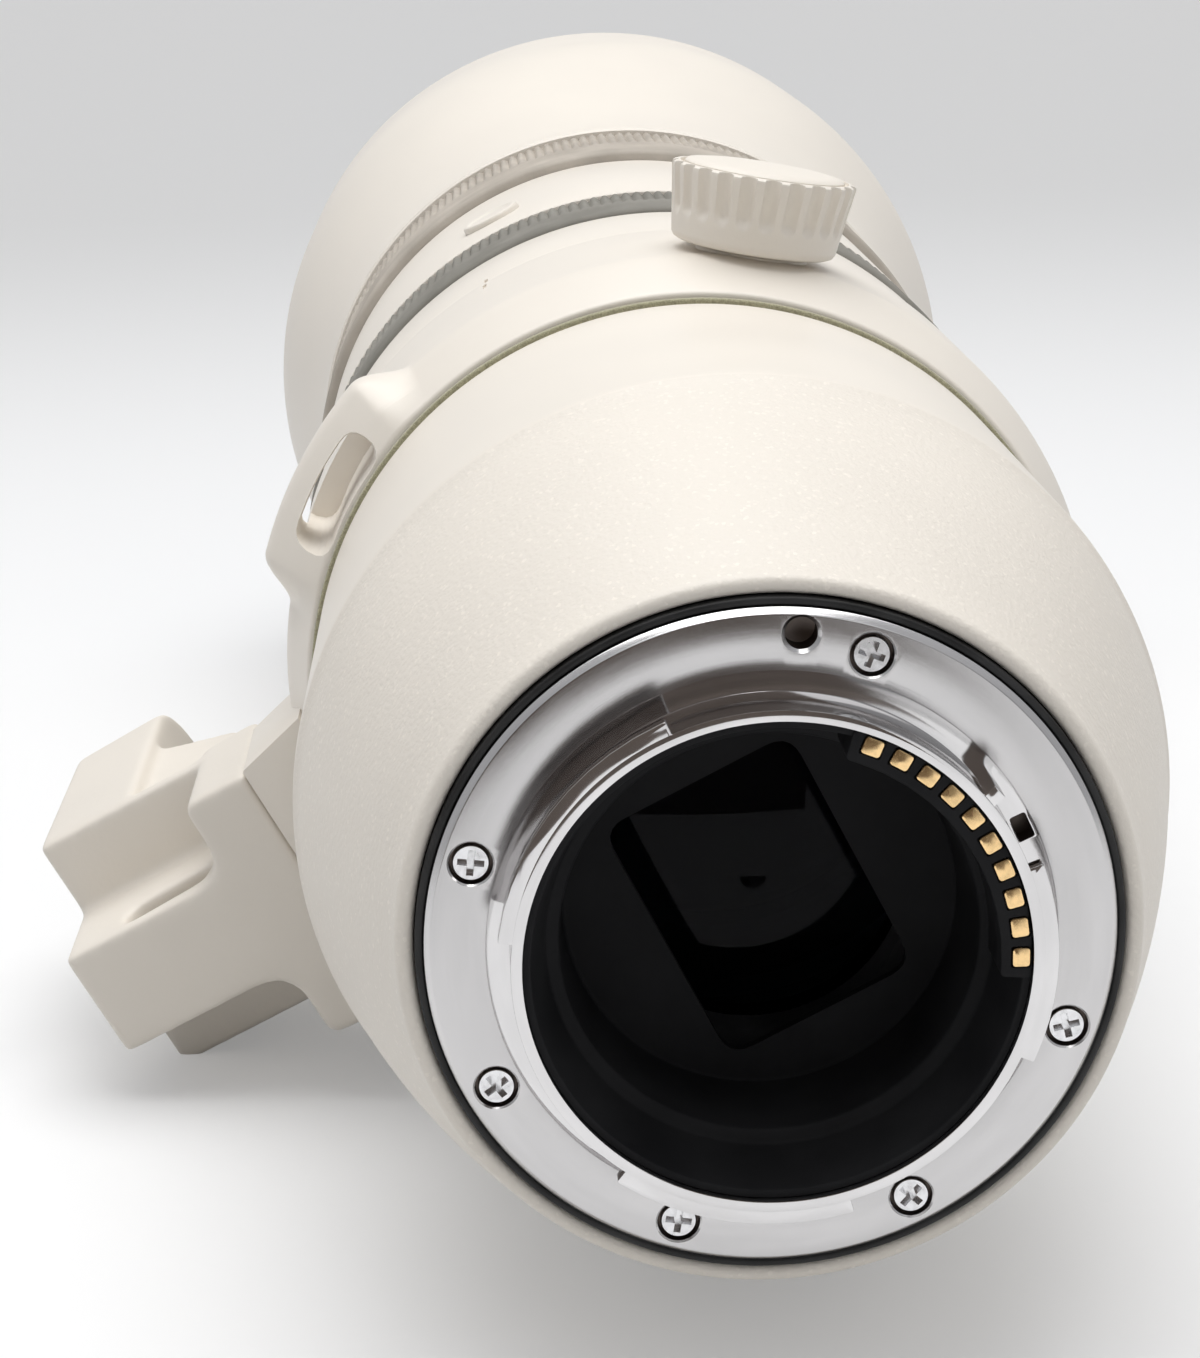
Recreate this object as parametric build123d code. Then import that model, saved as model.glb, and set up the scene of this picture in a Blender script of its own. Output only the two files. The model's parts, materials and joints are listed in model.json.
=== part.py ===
"""Super-telephoto zoom lens with a rotating tripod collar, lying on its side.

Millimetres. +Y is the optical axis and runs from the bayonet flange to the front rim, +Z is up.
The origin is the centre of the flange's seating face, so the bayonet reaches to negative Y.
Angles are degrees round +Y as seen from behind: 0 is +X and 90 is +Z.
"""
from build123d import *
from math import cos, pi, radians, sin
import os

# Fits shared by all the pieces
turn_gap = 0.3          # radial and axial gap between pieces that turn or slide
shaft_gap = 0.06        # radial running fit of a shaft in its bore
cut_over = 1.0          # overrun of every cutting tool

# Clocking of the sub-assemblies
barrel_clock = 28.0     # direction of the barrel's underside, where the contacts are
foot_clock = 210.0      # direction of the collar's foot
knob_clock = 81.4       # direction of the collar's lock knob
collar_lug_angle = 58.0  # strap lugs, each side of the foot

# Bayonet mount
flange_radius = 30.0
flange_thickness = 4.0
flange_bevel = 0.6
spigot_bore = 21.6
spigot_wall = 1.0
spigot_length = 5.0
spigot_radius = spigot_bore + spigot_wall
ledge_width = 2.0
ledge_depth = 0.8
ledge_radius = spigot_radius + ledge_width
lug_height = 1.2
lug_thickness = 1.5
lug_radius = spigot_radius + lug_height
lug_spans = ((-22.5, 22.0), (114.0, 174.0), (235.0, 287.0))
stop_angle = 40.0
stop_width = 1.4
stop_height = 1.3
pin_hole_radius = 1.4
pin_hole_from_rim = 2.2
pin_hole_circle = flange_radius - pin_hole_from_rim
pin_hole_angle = 86.0
pin_hole_depth = 2.6

# Cross-head screws of the mount
screw_from_rim = 3.0
mount_screw_circle = flange_radius - screw_from_rim
mount_screw_turns = (45.0, 135.0, 180.0, 225.0, 270.0, 315.0)
screw_head_radius = 1.6
screw_head_height = 1.1
screw_sink = 0.25
screw_shank_radius = 0.9
screw_length = 6.0
screw_well_room = 0.3
cross_length = 1.9
cross_width = 0.5
cross_depth = 0.6

# Weather seal and the contacts inside the spigot
seal_fit = 0.05
seal_wall = 0.95
seal_back = 0.7
seal_depth = 2.4
seal_inner = flange_radius + seal_fit
seal_outer = seal_inner + seal_wall
contact_from_bore = 1.0
contact_count = 10
contact_pitch = 7.5
contact_centre = 35.0
contact_length = 1.7
contact_width = 1.5
contact_height = 0.8
contact_proud = 0.15
contact_radius = spigot_bore - contact_from_bore
block_height = 2.7
block_span = 78.0
block_rear = -4.6
block_front = 1.5
block_inner = spigot_bore - block_height

# Mount base that the flange screws bite into
base_lip = 0.8
base_rim = 1.0
base_length = 7.0
base_inner = spigot_bore + base_lip
base_outer = flange_radius + base_rim
base_front = flange_thickness + base_length

# Light baffle inside the throat
baffle_room = 1.2
baffle_wall = 1.2
baffle_rear = 2.0
baffle_flange_length = 3.0
baffle_rear_radius = spigot_bore - baffle_room
baffle_flange_back = base_front - baffle_flange_length
gate_from_base = 1.0
gate_plane = base_front + gate_from_base
gate_long = 25.0
gate_short = 18.8
gate_corner = 1.6
gate_thickness = 1.0

# Rear shell
lip_wall = 1.3
lip_back = 1.0
lip_round = 1.2
lip_inner = seal_outer + turn_gap
lip_radius = lip_inner + lip_wall
shoulder_back = 36.5
shoulder_step = 0.4
shoulder_bulge_share = 0.035
shell_room = 5.3
shell_wall = 2.0
shell_front = 81.8

# Main tube and the bearing of the collar
tube_outer = 38.0
tube_wall = 2.0
tube_inner = tube_outer - tube_wall
tube_root_wall = 2.5
tube_root_length = 3.0
tube_root_inner = base_outer - tube_root_wall
tube_cone_front = shoulder_back + shell_wall
bearing_wall = 2.2
bearing_outer = tube_outer + bearing_wall
shell_radius = tube_outer + shell_room
shoulder_radius = shell_radius - shoulder_step
felt_proud = 0.5
felt_length = 1.4
felt_outer = shell_radius + felt_proud

# Circuit board on the mount base
board_from_base = 0.8
board_thickness = 1.2
board_inner = base_inner + board_from_base
board_outer = tube_root_inner - turn_gap
chip_size = 3.4
chip_height = 1.0
chip_turns = (10.0, 55.0, 100.0, 190.0, 250.0, 300.0)

# Tripod collar
collar_wall = 6.7
collar_length = 33.0
collar_chamfer_length = 9.0
collar_chamfer_depth = 2.9
collar_edge = 0.6
collar_room = 0.4
collar_root_share = 0.463
collar_bore = bearing_outer + turn_gap
collar_outer = collar_bore + collar_wall
collar_root = collar_bore + collar_wall * collar_root_share
collar_back = shell_front + felt_length + collar_room
collar_front = collar_back + collar_length
index_width = 0.5
index_length = 3.0
index_depth = 0.25
index_angle = 120.0
lug_rise = 3.8
lug_crest_half = 12.8
lug_root_half = 16.2
lug_length = 10.5
lug_top = collar_outer + lug_rise
strap_slot_height = 4.5
strap_slot_half = 8.4
strap_slot_run = 18.0
strap_slot_floor = collar_outer - collar_chamfer_depth
strap_slot_top = strap_slot_floor + strap_slot_height

# Pedestal and foot
pedestal_rise = 3.1
pedestal_half = 17.0
pedestal_back = 0.4
pedestal_reach = 5.5
pedestal_length = collar_length
pedestal_flare = pedestal_half + pedestal_reach
pedestal_top = collar_outer + pedestal_rise
foot_height = 31.5
foot_rake = 4.0
foot_half = 17.0
foot_scoop = 2.5
foot_bottom = pedestal_top + foot_height
foot_flange = 8.6
foot_blend = 4.5
foot_plate = 13.5
rib_half = 7.0
foot_pocket_back = 16.0
foot_neck_length = 28.0
foot_neck_front = foot_pocket_back + foot_neck_length
foot_nose_length = 19.0
foot_length = foot_neck_front + foot_nose_length
foot_round = 7.0
foot_nose_corner = 10.0
foot_edge = 1.9
slot_length = 11.5
slot_width = 3.6
slot_depth = 4.0
slot_from_seat = 17.05
slot_from_back = 7.5
foot_screw_radius = 2.5
foot_screw_head = 4.2
foot_screw_head_height = 3.0
foot_screw_bite = 5.3
foot_screw_length = foot_height - foot_plate + foot_screw_bite
foot_screw_spacing = 16.0
foot_screw_middle = 18.0
foot_screw_socket = 2.0
bush_radius = 6.4
bush_bore = 4.35
bush_length = 9.5
bush_from_neck = 2.0
bush_from_back = foot_neck_front - bush_from_neck
pin_bore = 2.3
pin_bore_depth = 6.0
pin_bore_spacing = 10.4

# Lock knob, its shaft and the clamp shoe
knob_from_back = 15.5
knob_radius = 10.7
knob_taper = 1.25
knob_foot_radius = knob_radius - knob_taper
knob_lift = 0.3
knob_height = 8.75
knob_flutes = 24
flute_radius = 0.95
flute_depth = 0.75
flute_lift = 3.0
knob_rim = 0.7
knob_rim_width = 1.5
knob_cap_radius = knob_radius - knob_rim_width
knob_cap_rise = 0.8
knob_cap_groove = 0.5
cap_crown_share = 0.8
cap_shoulder_share = 0.6
boss_radius = 8.0
boss_height = 0.15
shaft_radius = 3.0
shoe_radius = 4.2
shoe_thickness = 1.6
clamp_travel = 0.5
shoe_bottom = bearing_outer + shaft_gap + clamp_travel

# Switch panel barrel and its switches
panel_barrel_depth = 8.8
panel_barrel_length = 21.1
barrel_wall = 2.2
panel_barrel_radius = tube_outer + panel_barrel_depth
panel_barrel_back = collar_front + turn_gap
panel_barrel_front = panel_barrel_back + panel_barrel_length
panel_clock_offset = 270.0
switch_count = 4
switch_spacing = 8.0
switch_length = 4.0
switch_width = 2.4
switch_height = 1.5
switch_travel = 3.0
switch_root = 1.0
switch_play = 0.5
switch_slot_length = switch_length + switch_travel + 2 * switch_play
switch_slot_width = switch_width + 2 * turn_gap
panel_margin = 2.05
panel_end = 5.0
panel_length = panel_barrel_length - 2 * panel_margin
panel_width = (switch_count - 1) * switch_spacing + 2 * panel_end
panel_thickness = 1.4
panel_rise = 1.2
panel_corner = 2.5

# Focus ring
focus_ring_depth = 9.4
focus_ring_length = 19.1
focus_grip_radius = tube_outer + focus_ring_depth
focus_back = panel_barrel_front + turn_gap
focus_front = focus_back + focus_ring_length
grip_wall = 2.6
grip_tooth = 0.5
tooth_root_share = 0.5
focus_teeth = 204
ring_wall = 3.0

# Button barrel and its focus hold buttons
button_barrel_length = 41.5
button_barrel_radius = focus_grip_radius
button_barrel_back = focus_front + turn_gap
button_barrel_front = button_barrel_back + button_barrel_length
button_turns = (90.0, 180.0, 270.0)
button_from_back = 15.0
button_radius = 4.2
button_proud = 0.8
button_body = 2.6
button_travel = 0.6
button_dish = 0.25
button_collar = 0.9
button_pocket = 1.2

# Zoom ring with its cam sleeve
zoom_ring_depth = 10.8
zoom_ring_length = 30.5
zoom_grip_radius = tube_outer + zoom_ring_depth
zoom_back = button_barrel_front + turn_gap
zoom_front = zoom_back + zoom_ring_length
zoom_teeth = 208
zoom_turn = 75.0
zoom_travel = 40.0
zoom_start = 6.5
zoom_middle = zoom_back + zoom_start
cam_wall = 1.8
cam_slots = 3
cam_pin_radius = 1.3
cam_pin_room = 0.45
cam_slot_radius = cam_pin_radius + cam_pin_room
cam_margin = 6.0
tube_overrun = 22.0
tube_front = zoom_middle + zoom_travel + tube_overrun

# Front barrel, hood mount and filter ring, all set by the filter thread
filter_thread_radius = 52.5
filter_wall = 4.1
filter_ledge = 2.0
filter_length = 8.0
filter_thread_length = 5.0
filter_chamfer = 0.5
filter_outer = filter_thread_radius + filter_wall
filter_lip = filter_thread_radius - filter_ledge
hood_step = 0.7
hood_length = 20.0
hood_groove_depth = 1.0
hood_groove_width = 2.2
hood_groove_from_front = 5.0
hood_entries = 3
hood_entry_span = 16.0
hood_radius = filter_outer + hood_step
front_wall = 2.4
rim_step = 2.3
rim_length = 30.0
rim_chamfer = 1.2
neck_step = 0.6
flare_length = 58.0
flare_middle_share = 0.42
flare_start_slope = 0.1
flare_end_slope = 0.02
frame_wall = 4.8
frame_seat_wall = 4.0
frame_seat_length = 20.0
front_radius = hood_radius + rim_step
front_neck_radius = zoom_grip_radius + neck_step
front_back = zoom_front + turn_gap
flare_end = zoom_front + flare_length
front_rim_back = flare_end + rim_length
hood_front = front_rim_back + hood_length
filter_front = hood_front + filter_length

# Optical groups
cell_wall = 2.2
cell_lip = 1.2
cell_margin = 4.0
lens_edge = 4.0
rear_lens_radius = 15.5
rear_lens_depth = 10.0
rear_lens_middle = base_front + rear_lens_depth
rear_cell_outer = rear_lens_radius + 2 * cell_wall + cell_margin
web_from_lens = 2.0
web_thickness = 2.5
web_back = rear_lens_middle - web_from_lens
stabiliser_lens_radius = 19.0
stabiliser_depth = 41.0
stabiliser_middle = rear_lens_middle + stabiliser_depth
focus_cell_depth = 10.0
focus_travel = 18.0
focus_room = 18.0
motor_length = 14.0
motor_width = 9.0
motor_height = 3.2
rod_radius = 1.5
rod_depth = 3.5
rod_count = 2
rod_overlap = 4.0
focus_lens_radius = tube_inner - focus_cell_depth
focus_middle = stabiliser_middle + focus_room + focus_travel + motor_length
rod_circle = tube_inner - rod_depth
zoom_cell_depth = 6.0
zoom_lens_radius = tube_inner - zoom_cell_depth
front_lens_depth = 12.0
front_lens_radius = front_radius - front_wall - frame_seat_wall - cell_wall
front_middle = front_rim_back - front_lens_depth

lens_axis = Axis.Y


def turned(*points):
    """Solid of revolution about the lens axis from (radius, axial) points."""
    return revolve(make_face(Polyline(*points, close=True)), axis=lens_axis)


def tube(outer, inner, back, front):
    """Plain tube about the lens axis."""
    return turned((inner, back), (outer, back), (outer, front), (inner, front))


def at_angle(shape, angle):
    """Turn a shape that was built along +X to an angle round the lens axis."""
    return Rot(0, -angle, 0) * shape


def radial_plane(radius, axial):
    """Plane that faces outwards along +X: its x runs along the lens, its y round it."""
    return Plane(origin=(radius, axial, 0), x_dir=(0, 1, 0), z_dir=(1, 0, 0))


def axial_plane(radius, axial):
    """Plane across the lens that faces the front, centred at a radius along +X."""
    return Plane(origin=(radius, axial, 0), x_dir=(1, 0, 0), z_dir=(0, 1, 0))


def rod(radius, length, circle, axial):
    """Cylinder along the lens that starts at axial, at a radius along +X."""
    return extrude(axial_plane(circle, axial) * Circle(radius), length)


def sector(outer, inner, back, front, start, end):
    """Part of a tube between two angles round the lens."""
    face = make_face(Polyline((inner, back), (outer, back), (outer, front), (inner, front),
                              close=True))
    return at_angle(revolve(face, axis=lens_axis, revolution_arc=end - start), end)


def save(shape, node):
    """Write one node's solids to its own file."""
    export_step(shape, "parts/" + node + ".step")


def group(solids):
    """Put solids that stay separate into one node."""
    return Compound(children=list(solids))


# Bayonet mount
def bayonet_mount():
    """Flange with its seating face, ledge, spigot, three lugs, stop, screw wells and pin hole."""
    body = turned((spigot_bore, -spigot_length), (spigot_radius, -spigot_length),
                  (spigot_radius, ledge_depth), (ledge_radius, ledge_depth), (ledge_radius, 0),
                  (flange_radius - flange_bevel, 0), (flange_radius, flange_bevel),
                  (flange_radius, flange_thickness), (spigot_bore, flange_thickness))
    for start, end in lug_spans:
        body += sector(lug_radius, spigot_bore, -spigot_length, -spigot_length + lug_thickness,
                       start, end)
    stop = radial_plane(spigot_bore, -spigot_length / 2) * Rectangle(spigot_length, stop_width)
    body += at_angle(extrude(stop, spigot_wall + stop_height), stop_angle)
    for turn in mount_screw_turns:
        well = rod(screw_head_radius + screw_well_room, screw_sink + screw_head_height + cut_over,
                   mount_screw_circle, -cut_over)
        shank = rod(screw_shank_radius, flange_thickness + 2 * cut_over, mount_screw_circle,
                    -cut_over)
        body -= at_angle(well + shank, barrel_clock + turn)
    hole = rod(pin_hole_radius, pin_hole_depth + cut_over, pin_hole_circle, -cut_over)
    return body - at_angle(hole, pin_hole_angle)


def mount_screw(turn):
    """Cross-head screw, head in its well and shank down into the mount base."""
    head_back = screw_sink
    head = rod(screw_head_radius, screw_head_height, mount_screw_circle, head_back)
    shank = rod(screw_shank_radius, screw_length, mount_screw_circle, head_back)
    plane = axial_plane(mount_screw_circle, head_back - cut_over)
    cross = Rectangle(cross_length, cross_width) + Rectangle(cross_width, cross_length)
    return at_angle(head + shank - extrude(plane * cross, cut_over + cross_depth),
                    barrel_clock + turn)


def mount_base():
    """Inner ring that takes the flange screws, bored for each of them."""
    body = tube(base_outer, base_inner, flange_thickness, base_front)
    for turn in mount_screw_turns:
        body -= at_angle(rod(screw_shank_radius, base_length + cut_over, mount_screw_circle,
                             flange_thickness - cut_over), barrel_clock + turn)
    return body


def circuit_board():
    """Ring-shaped main board in front of the mount base, with its chips."""
    front = base_front + board_thickness
    body = tube(board_outer, board_inner, base_front, front)
    circle = (board_inner + board_outer) / 2
    for turn in chip_turns:
        chip = extrude(axial_plane(circle, front) * Rectangle(chip_size, chip_size), chip_height)
        body += at_angle(chip, turn)
    return body


def contact_block():
    """Arc-shaped carrier of the contacts inside the spigot, with a well for each pad."""
    start = contact_centre - block_span / 2
    body = sector(spigot_bore, block_inner, block_rear, block_front, start, start + block_span)
    for angle in contact_angles():
        well = extrude(axial_plane(contact_radius, block_rear - cut_over)
                       * Rectangle(contact_width, contact_length),
                       cut_over + contact_height - contact_proud)
        body -= at_angle(well, angle)
    return body


def contact_angles():
    """Angle of each contact round the lens."""
    first = contact_centre - contact_pitch * (contact_count - 1) / 2
    return [first + contact_pitch * index for index in range(contact_count)]


def contact_pad(angle):
    """One plated pad, a little proud of the block."""
    plane = axial_plane(contact_radius, block_rear - contact_proud)
    return at_angle(extrude(plane * Rectangle(contact_width, contact_length), contact_height),
                    angle)


def rear_baffle():
    """Black funnel that ends in the rectangular light gate, long side across the barrel."""
    outer = turned((block_inner - turn_gap, baffle_rear), (baffle_rear_radius, baffle_rear),
                   (baffle_rear_radius, baffle_flange_back), (base_inner, baffle_flange_back),
                   (base_inner, base_front), (baffle_rear_radius, base_front),
                   (baffle_rear_radius, gate_plane + gate_thickness),
                   (0, gate_plane + gate_thickness), (0, gate_plane),
                   (baffle_rear_radius - 2 * baffle_wall, gate_plane))
    gate = fillet(Rectangle(gate_short, gate_long).vertices(), gate_corner)
    cut = extrude(axial_plane(0, gate_plane - cut_over) * gate, gate_thickness + 2 * cut_over)
    return outer - at_angle(cut, barrel_clock)


# Rear shell and main tube
def rear_shell():
    """Cream cone and cylinder behind the collar, rolled over to the mount at its lip."""
    chord = shoulder_radius - lip_radius
    middle = ((lip_radius + shoulder_radius) / 2 + shoulder_bulge_share * chord * 2,
              (lip_back + lip_round + shoulder_back) / 2)
    edges = [Line((lip_inner, lip_back + lip_round), (lip_inner, lip_back + lip_round / 2)),
             ThreePointArc((lip_inner, lip_back + lip_round / 2),
                           ((lip_inner + lip_radius) / 2, lip_back),
                           (lip_radius, lip_back + lip_round)),
             ThreePointArc((lip_radius, lip_back + lip_round), middle,
                           (shoulder_radius, shoulder_back)),
             Line((shoulder_radius, shoulder_back), (shell_radius, shoulder_back + shell_wall)),
             Line((shell_radius, shoulder_back + shell_wall), (shell_radius, shell_front)),
             Line((shell_radius, shell_front), (shell_radius - shell_wall, shell_front)),
             Line((shell_radius - shell_wall, shell_front),
                  (shell_radius - shell_wall, shoulder_back + shell_wall)),
             Line((shell_radius - shell_wall, shoulder_back + shell_wall),
                  (lip_radius, gate_plane)),
             Line((lip_radius, gate_plane), (lip_inner, flange_thickness)),
             Line((lip_inner, flange_thickness), (lip_inner, lip_back + lip_round))]
    return revolve(make_face(edges), axis=lens_axis)


def main_tube():
    """Structural tube on the mount base, slotted lengthwise for the zoom group's cam pins."""
    root_front = base_front + tube_root_length
    web_front = web_back + web_thickness
    lean = (tube_outer - base_outer) / (tube_cone_front - root_front)
    web_outer = base_outer + lean * (web_front - root_front) - tube_wall
    body = turned((tube_root_inner, base_front), (base_outer, base_front),
                  (base_outer, root_front), (tube_outer, tube_cone_front),
                  (tube_outer, tube_front), (tube_inner, tube_front),
                  (tube_inner, tube_cone_front), (web_outer, web_front),
                  (rear_cell_outer, web_front), (rear_cell_outer, web_back),
                  (tube_root_inner, web_back))
    length = zoom_travel + 2 * cam_slot_radius
    middle = zoom_middle + zoom_travel / 2
    plane = radial_plane(tube_inner - cut_over, middle)
    slot = extrude(plane * SlotOverall(length, 2 * cam_slot_radius), tube_wall + 2 * cut_over)
    for index in range(cam_slots):
        body -= at_angle(slot, index * 360 / cam_slots)
    return body


def collar_bearing():
    """Smooth ring on the main tube that the collar turns on."""
    return tube(bearing_outer, tube_outer, shell_front, collar_front)


def collar_felt():
    """Felt ring that shows in the groove between the shell and the collar."""
    return tube(felt_outer, bearing_outer, shell_front, shell_front + felt_length)


# Tripod collar
def strap_lug(angle):
    """Low rib at the collar's back edge, with a way under it for a strap."""
    points = []
    for radius, turn in ((collar_root, -lug_root_half), (lug_top, -lug_crest_half), (lug_top, 0),
                         (lug_top, lug_crest_half), (collar_root, lug_root_half)):
        points.append((radius * cos(radians(turn)), radius * sin(radians(turn))))
    outline = make_face(Polyline(*points, close=True))
    return at_angle(extrude(axial_plane(0, collar_back) * outline, lug_length), angle)


def strap_slot(angle):
    """Cutter for the strap's way under the lug and out over the collar."""
    return sector(strap_slot_top, strap_slot_floor, collar_back - cut_over,
                  collar_back + strap_slot_run, angle - strap_slot_half, angle + strap_slot_half)


def collar_ring():
    """Collar with its chamfered back edge, strap lugs, knob boss, pedestal and index mark."""
    chamfer_front = collar_back + collar_chamfer_length
    body = turned((collar_bore, collar_back), (collar_outer - collar_chamfer_depth, collar_back),
                  (collar_outer, chamfer_front), (collar_outer, collar_front - collar_edge),
                  (collar_outer - collar_edge, collar_front), (collar_bore, collar_front))
    for side in (-1, 1):
        angle = foot_clock + side * collar_lug_angle
        body += strap_lug(angle)
        body -= strap_slot(angle)
    body += at_angle(pedestal(), foot_clock)
    for place in foot_screw_places():
        hole = extrude(radial_plane(foot_screw_seat() - foot_screw_length, place)
                       * Circle(foot_screw_radius), foot_screw_length)
        body -= at_angle(hole, foot_clock)
    knob_y = collar_back + knob_from_back
    boss = extrude(radial_plane(collar_outer - boss_height, knob_y) * Circle(boss_radius),
                   2 * boss_height)
    body += at_angle(boss, knob_clock)
    bore = extrude(radial_plane(collar_bore - cut_over, knob_y)
                   * Circle(shaft_radius + shaft_gap), collar_wall + 2 * cut_over + boss_height)
    shoe_room = extrude(radial_plane(collar_bore - cut_over, knob_y)
                        * Circle(shoe_radius + shaft_gap),
                        cut_over + shoe_thickness + clamp_travel)
    body -= at_angle(bore + shoe_room, knob_clock)
    mark = extrude(radial_plane(collar_outer - index_depth, collar_front - collar_edge
                                - index_length) * Rectangle(index_length, index_width),
                   cut_over)
    body -= at_angle(mark, index_angle)
    return body


def pedestal():
    """Block under the collar that the foot is screwed to, flared where it meets the ring."""
    length = pedestal_length - pedestal_back
    middle = collar_back + pedestal_back + length / 2
    lower = radial_plane(collar_root, middle) * Rectangle(
        length, 2 * pedestal_flare)
    upper = radial_plane(pedestal_top, middle) * Rectangle(length, 2 * pedestal_half)
    return loft([lower, upper])


def foot_screw_places():
    """Axial place of each screw that holds the foot."""
    middle = collar_back + foot_screw_middle
    return [middle - foot_screw_spacing / 2, middle + foot_screw_spacing / 2]


def foot():
    """Foot: flange on the pedestal, ribbed neck, plate with a rounded nose, slot and bores."""
    back = collar_back + pedestal_back
    front = collar_back + pedestal_length
    pocket = back + foot_pocket_back
    top = pedestal_top
    body = foot_block(top, top + foot_flange, pocket, front)
    body += foot_block(top, foot_bottom - foot_plate / 2, pocket, back + foot_neck_front)
    body += foot_plate_solid(pocket, back + foot_length)
    body -= foot_scoops(pocket + foot_rake, back + foot_neck_front)
    body -= rake_cutter(pocket)
    body += foot_rib(back, pocket + foot_rake + cut_over)
    slot = Plane(origin=(top + slot_from_seat, back + slot_from_back, -rib_half - cut_over),
                 x_dir=(1, 0, 0), z_dir=(0, 0, 1))
    body -= extrude(slot * SlotOverall(slot_length, slot_width), slot_depth + cut_over)
    for place in foot_screw_places():
        body -= screw_room(place)
    bush_place = collar_back + bush_from_back
    body -= extrude(radial_plane(foot_bottom - bush_length, bush_place) * Circle(bush_radius),
                    bush_length + cut_over)
    body -= extrude(radial_plane(foot_bottom - pin_bore_depth, bush_place + pin_bore_spacing)
                    * Circle(pin_bore), pin_bore_depth + cut_over)
    return at_angle(body, foot_clock)


def foot_plate_solid(back, front):
    """Plate of the foot: rounded long edges and a nose that is round from below and beside."""
    low = foot_bottom - foot_plate
    nose = foot_bottom - foot_round
    edges = [Line((low, back), (foot_bottom, back)),
             Line((foot_bottom, back), (foot_bottom, front - foot_round)),
             CenterArc((nose, front - foot_round), foot_round, 0, 90),
             Line((nose, front), (low, front)),
             Line((low, front), (low, back))]
    body = extrude(make_face(edges), foot_half, both=True)
    flanks = body.faces().sort_by(Axis.Z)
    body = fillet(flanks[0].edges() + flanks[-1].edges(), foot_edge)
    length = front - back + 2 * foot_nose_corner
    plan = radial_plane(low - cut_over, front - length / 2) * RectangleRounded(
        length, 2 * foot_half, foot_nose_corner)
    return body & extrude(plan, foot_plate + 2 * cut_over)


def screw_room(place):
    """Cutter for one foot screw: clearance for the shank and a well for the head."""
    shank = extrude(radial_plane(pedestal_top - cut_over, place)
                    * Circle(foot_screw_radius + shaft_gap), foot_bottom)
    well_floor = foot_screw_seat()
    well = extrude(radial_plane(well_floor, place) * Circle(foot_screw_head + shaft_gap),
                   foot_bottom)
    return shank + well


def foot_screw_seat():
    """Radius at which the foot screws' heads bear on the foot."""
    return foot_bottom - foot_plate


def foot_rib(back, front):
    """Flange that narrows with a hollow blend into the rib, rounded along its back edges."""
    low = pedestal_top
    shoulder = low + foot_flange
    points = [(low, -foot_half), (shoulder, -foot_half), (shoulder, -rib_half),
              (foot_bottom, -rib_half), (foot_bottom, rib_half), (shoulder, rib_half),
              (shoulder, foot_half), (low, foot_half)]
    outline = make_face(Polyline(*points, close=True))
    inner = [corner for corner in outline.vertices() if abs(abs(corner.Y) - rib_half) < foot_edge
             and abs(corner.X - shoulder) < foot_edge]
    outline = fillet(inner, foot_blend)
    plane = Plane(origin=(0, back, 0), x_dir=(1, 0, 0), z_dir=(0, -1, 0))
    body = extrude(plane * outline, -(front - back)) - rake_cutter(back)
    back_face = body.faces().sort_by(lambda face: face.normal_at().Y)[0]
    return fillet([edge for edge in back_face.edges() if edge.center().X > low + foot_edge],
                  foot_edge)


def rake_cutter(place):
    """Cutter for a wall of the foot that leans forwards from the seat to the sole."""
    reach = foot_height + cut_over
    edges = Polyline((pedestal_top, place), (pedestal_top + reach,
                                             place + foot_rake * reach / foot_height),
                     (pedestal_top + reach, place - cut_over), (pedestal_top, place - cut_over),
                     close=True)
    return extrude(make_face(edges), foot_half + cut_over, both=True)


def foot_block(low, high, back, front):
    """Block between two radii along +X, as wide as the foot's plate."""
    middle = (back + front) / 2
    return extrude(radial_plane(low, middle) * Rectangle(front - back, 2 * foot_half), high - low)


def foot_scoops(back, front):
    """Cutters that hollow the neck's two sides between the flange and the plate."""
    span = front - back
    reach = (span * span / 4 + foot_scoop * foot_scoop) / (2 * foot_scoop)
    low = pedestal_top + foot_flange
    cutters = []
    for side in (-1, 1):
        plane = Plane(origin=(low, (back + front) / 2, side * (foot_half + reach - foot_scoop)),
                      x_dir=(0, 1, 0), z_dir=(1, 0, 0))
        cutters.append(extrude(plane * Circle(reach), foot_bottom - foot_plate - low))
    return cutters


def foot_screw(place):
    """Socket-head screw that holds the foot to the pedestal."""
    seat = foot_screw_seat()
    shank = extrude(radial_plane(seat, place) * Circle(foot_screw_radius), -foot_screw_length)
    head = extrude(radial_plane(seat, place) * Circle(foot_screw_head), foot_screw_head_height)
    socket = extrude(radial_plane(seat + foot_screw_head_height / 2, place)
                     * RegularPolygon(foot_screw_socket, 6), foot_screw_head_height)
    return at_angle(shank + head - socket, foot_clock)


def tripod_bush():
    """Threaded steel bush in the foot's sole."""
    plane = radial_plane(foot_bottom - bush_length, collar_back + bush_from_back)
    body = extrude(plane * Circle(bush_radius), bush_length)
    body -= extrude(plane * Circle(bush_bore), bush_length + cut_over)
    return at_angle(body, foot_clock)


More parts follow.
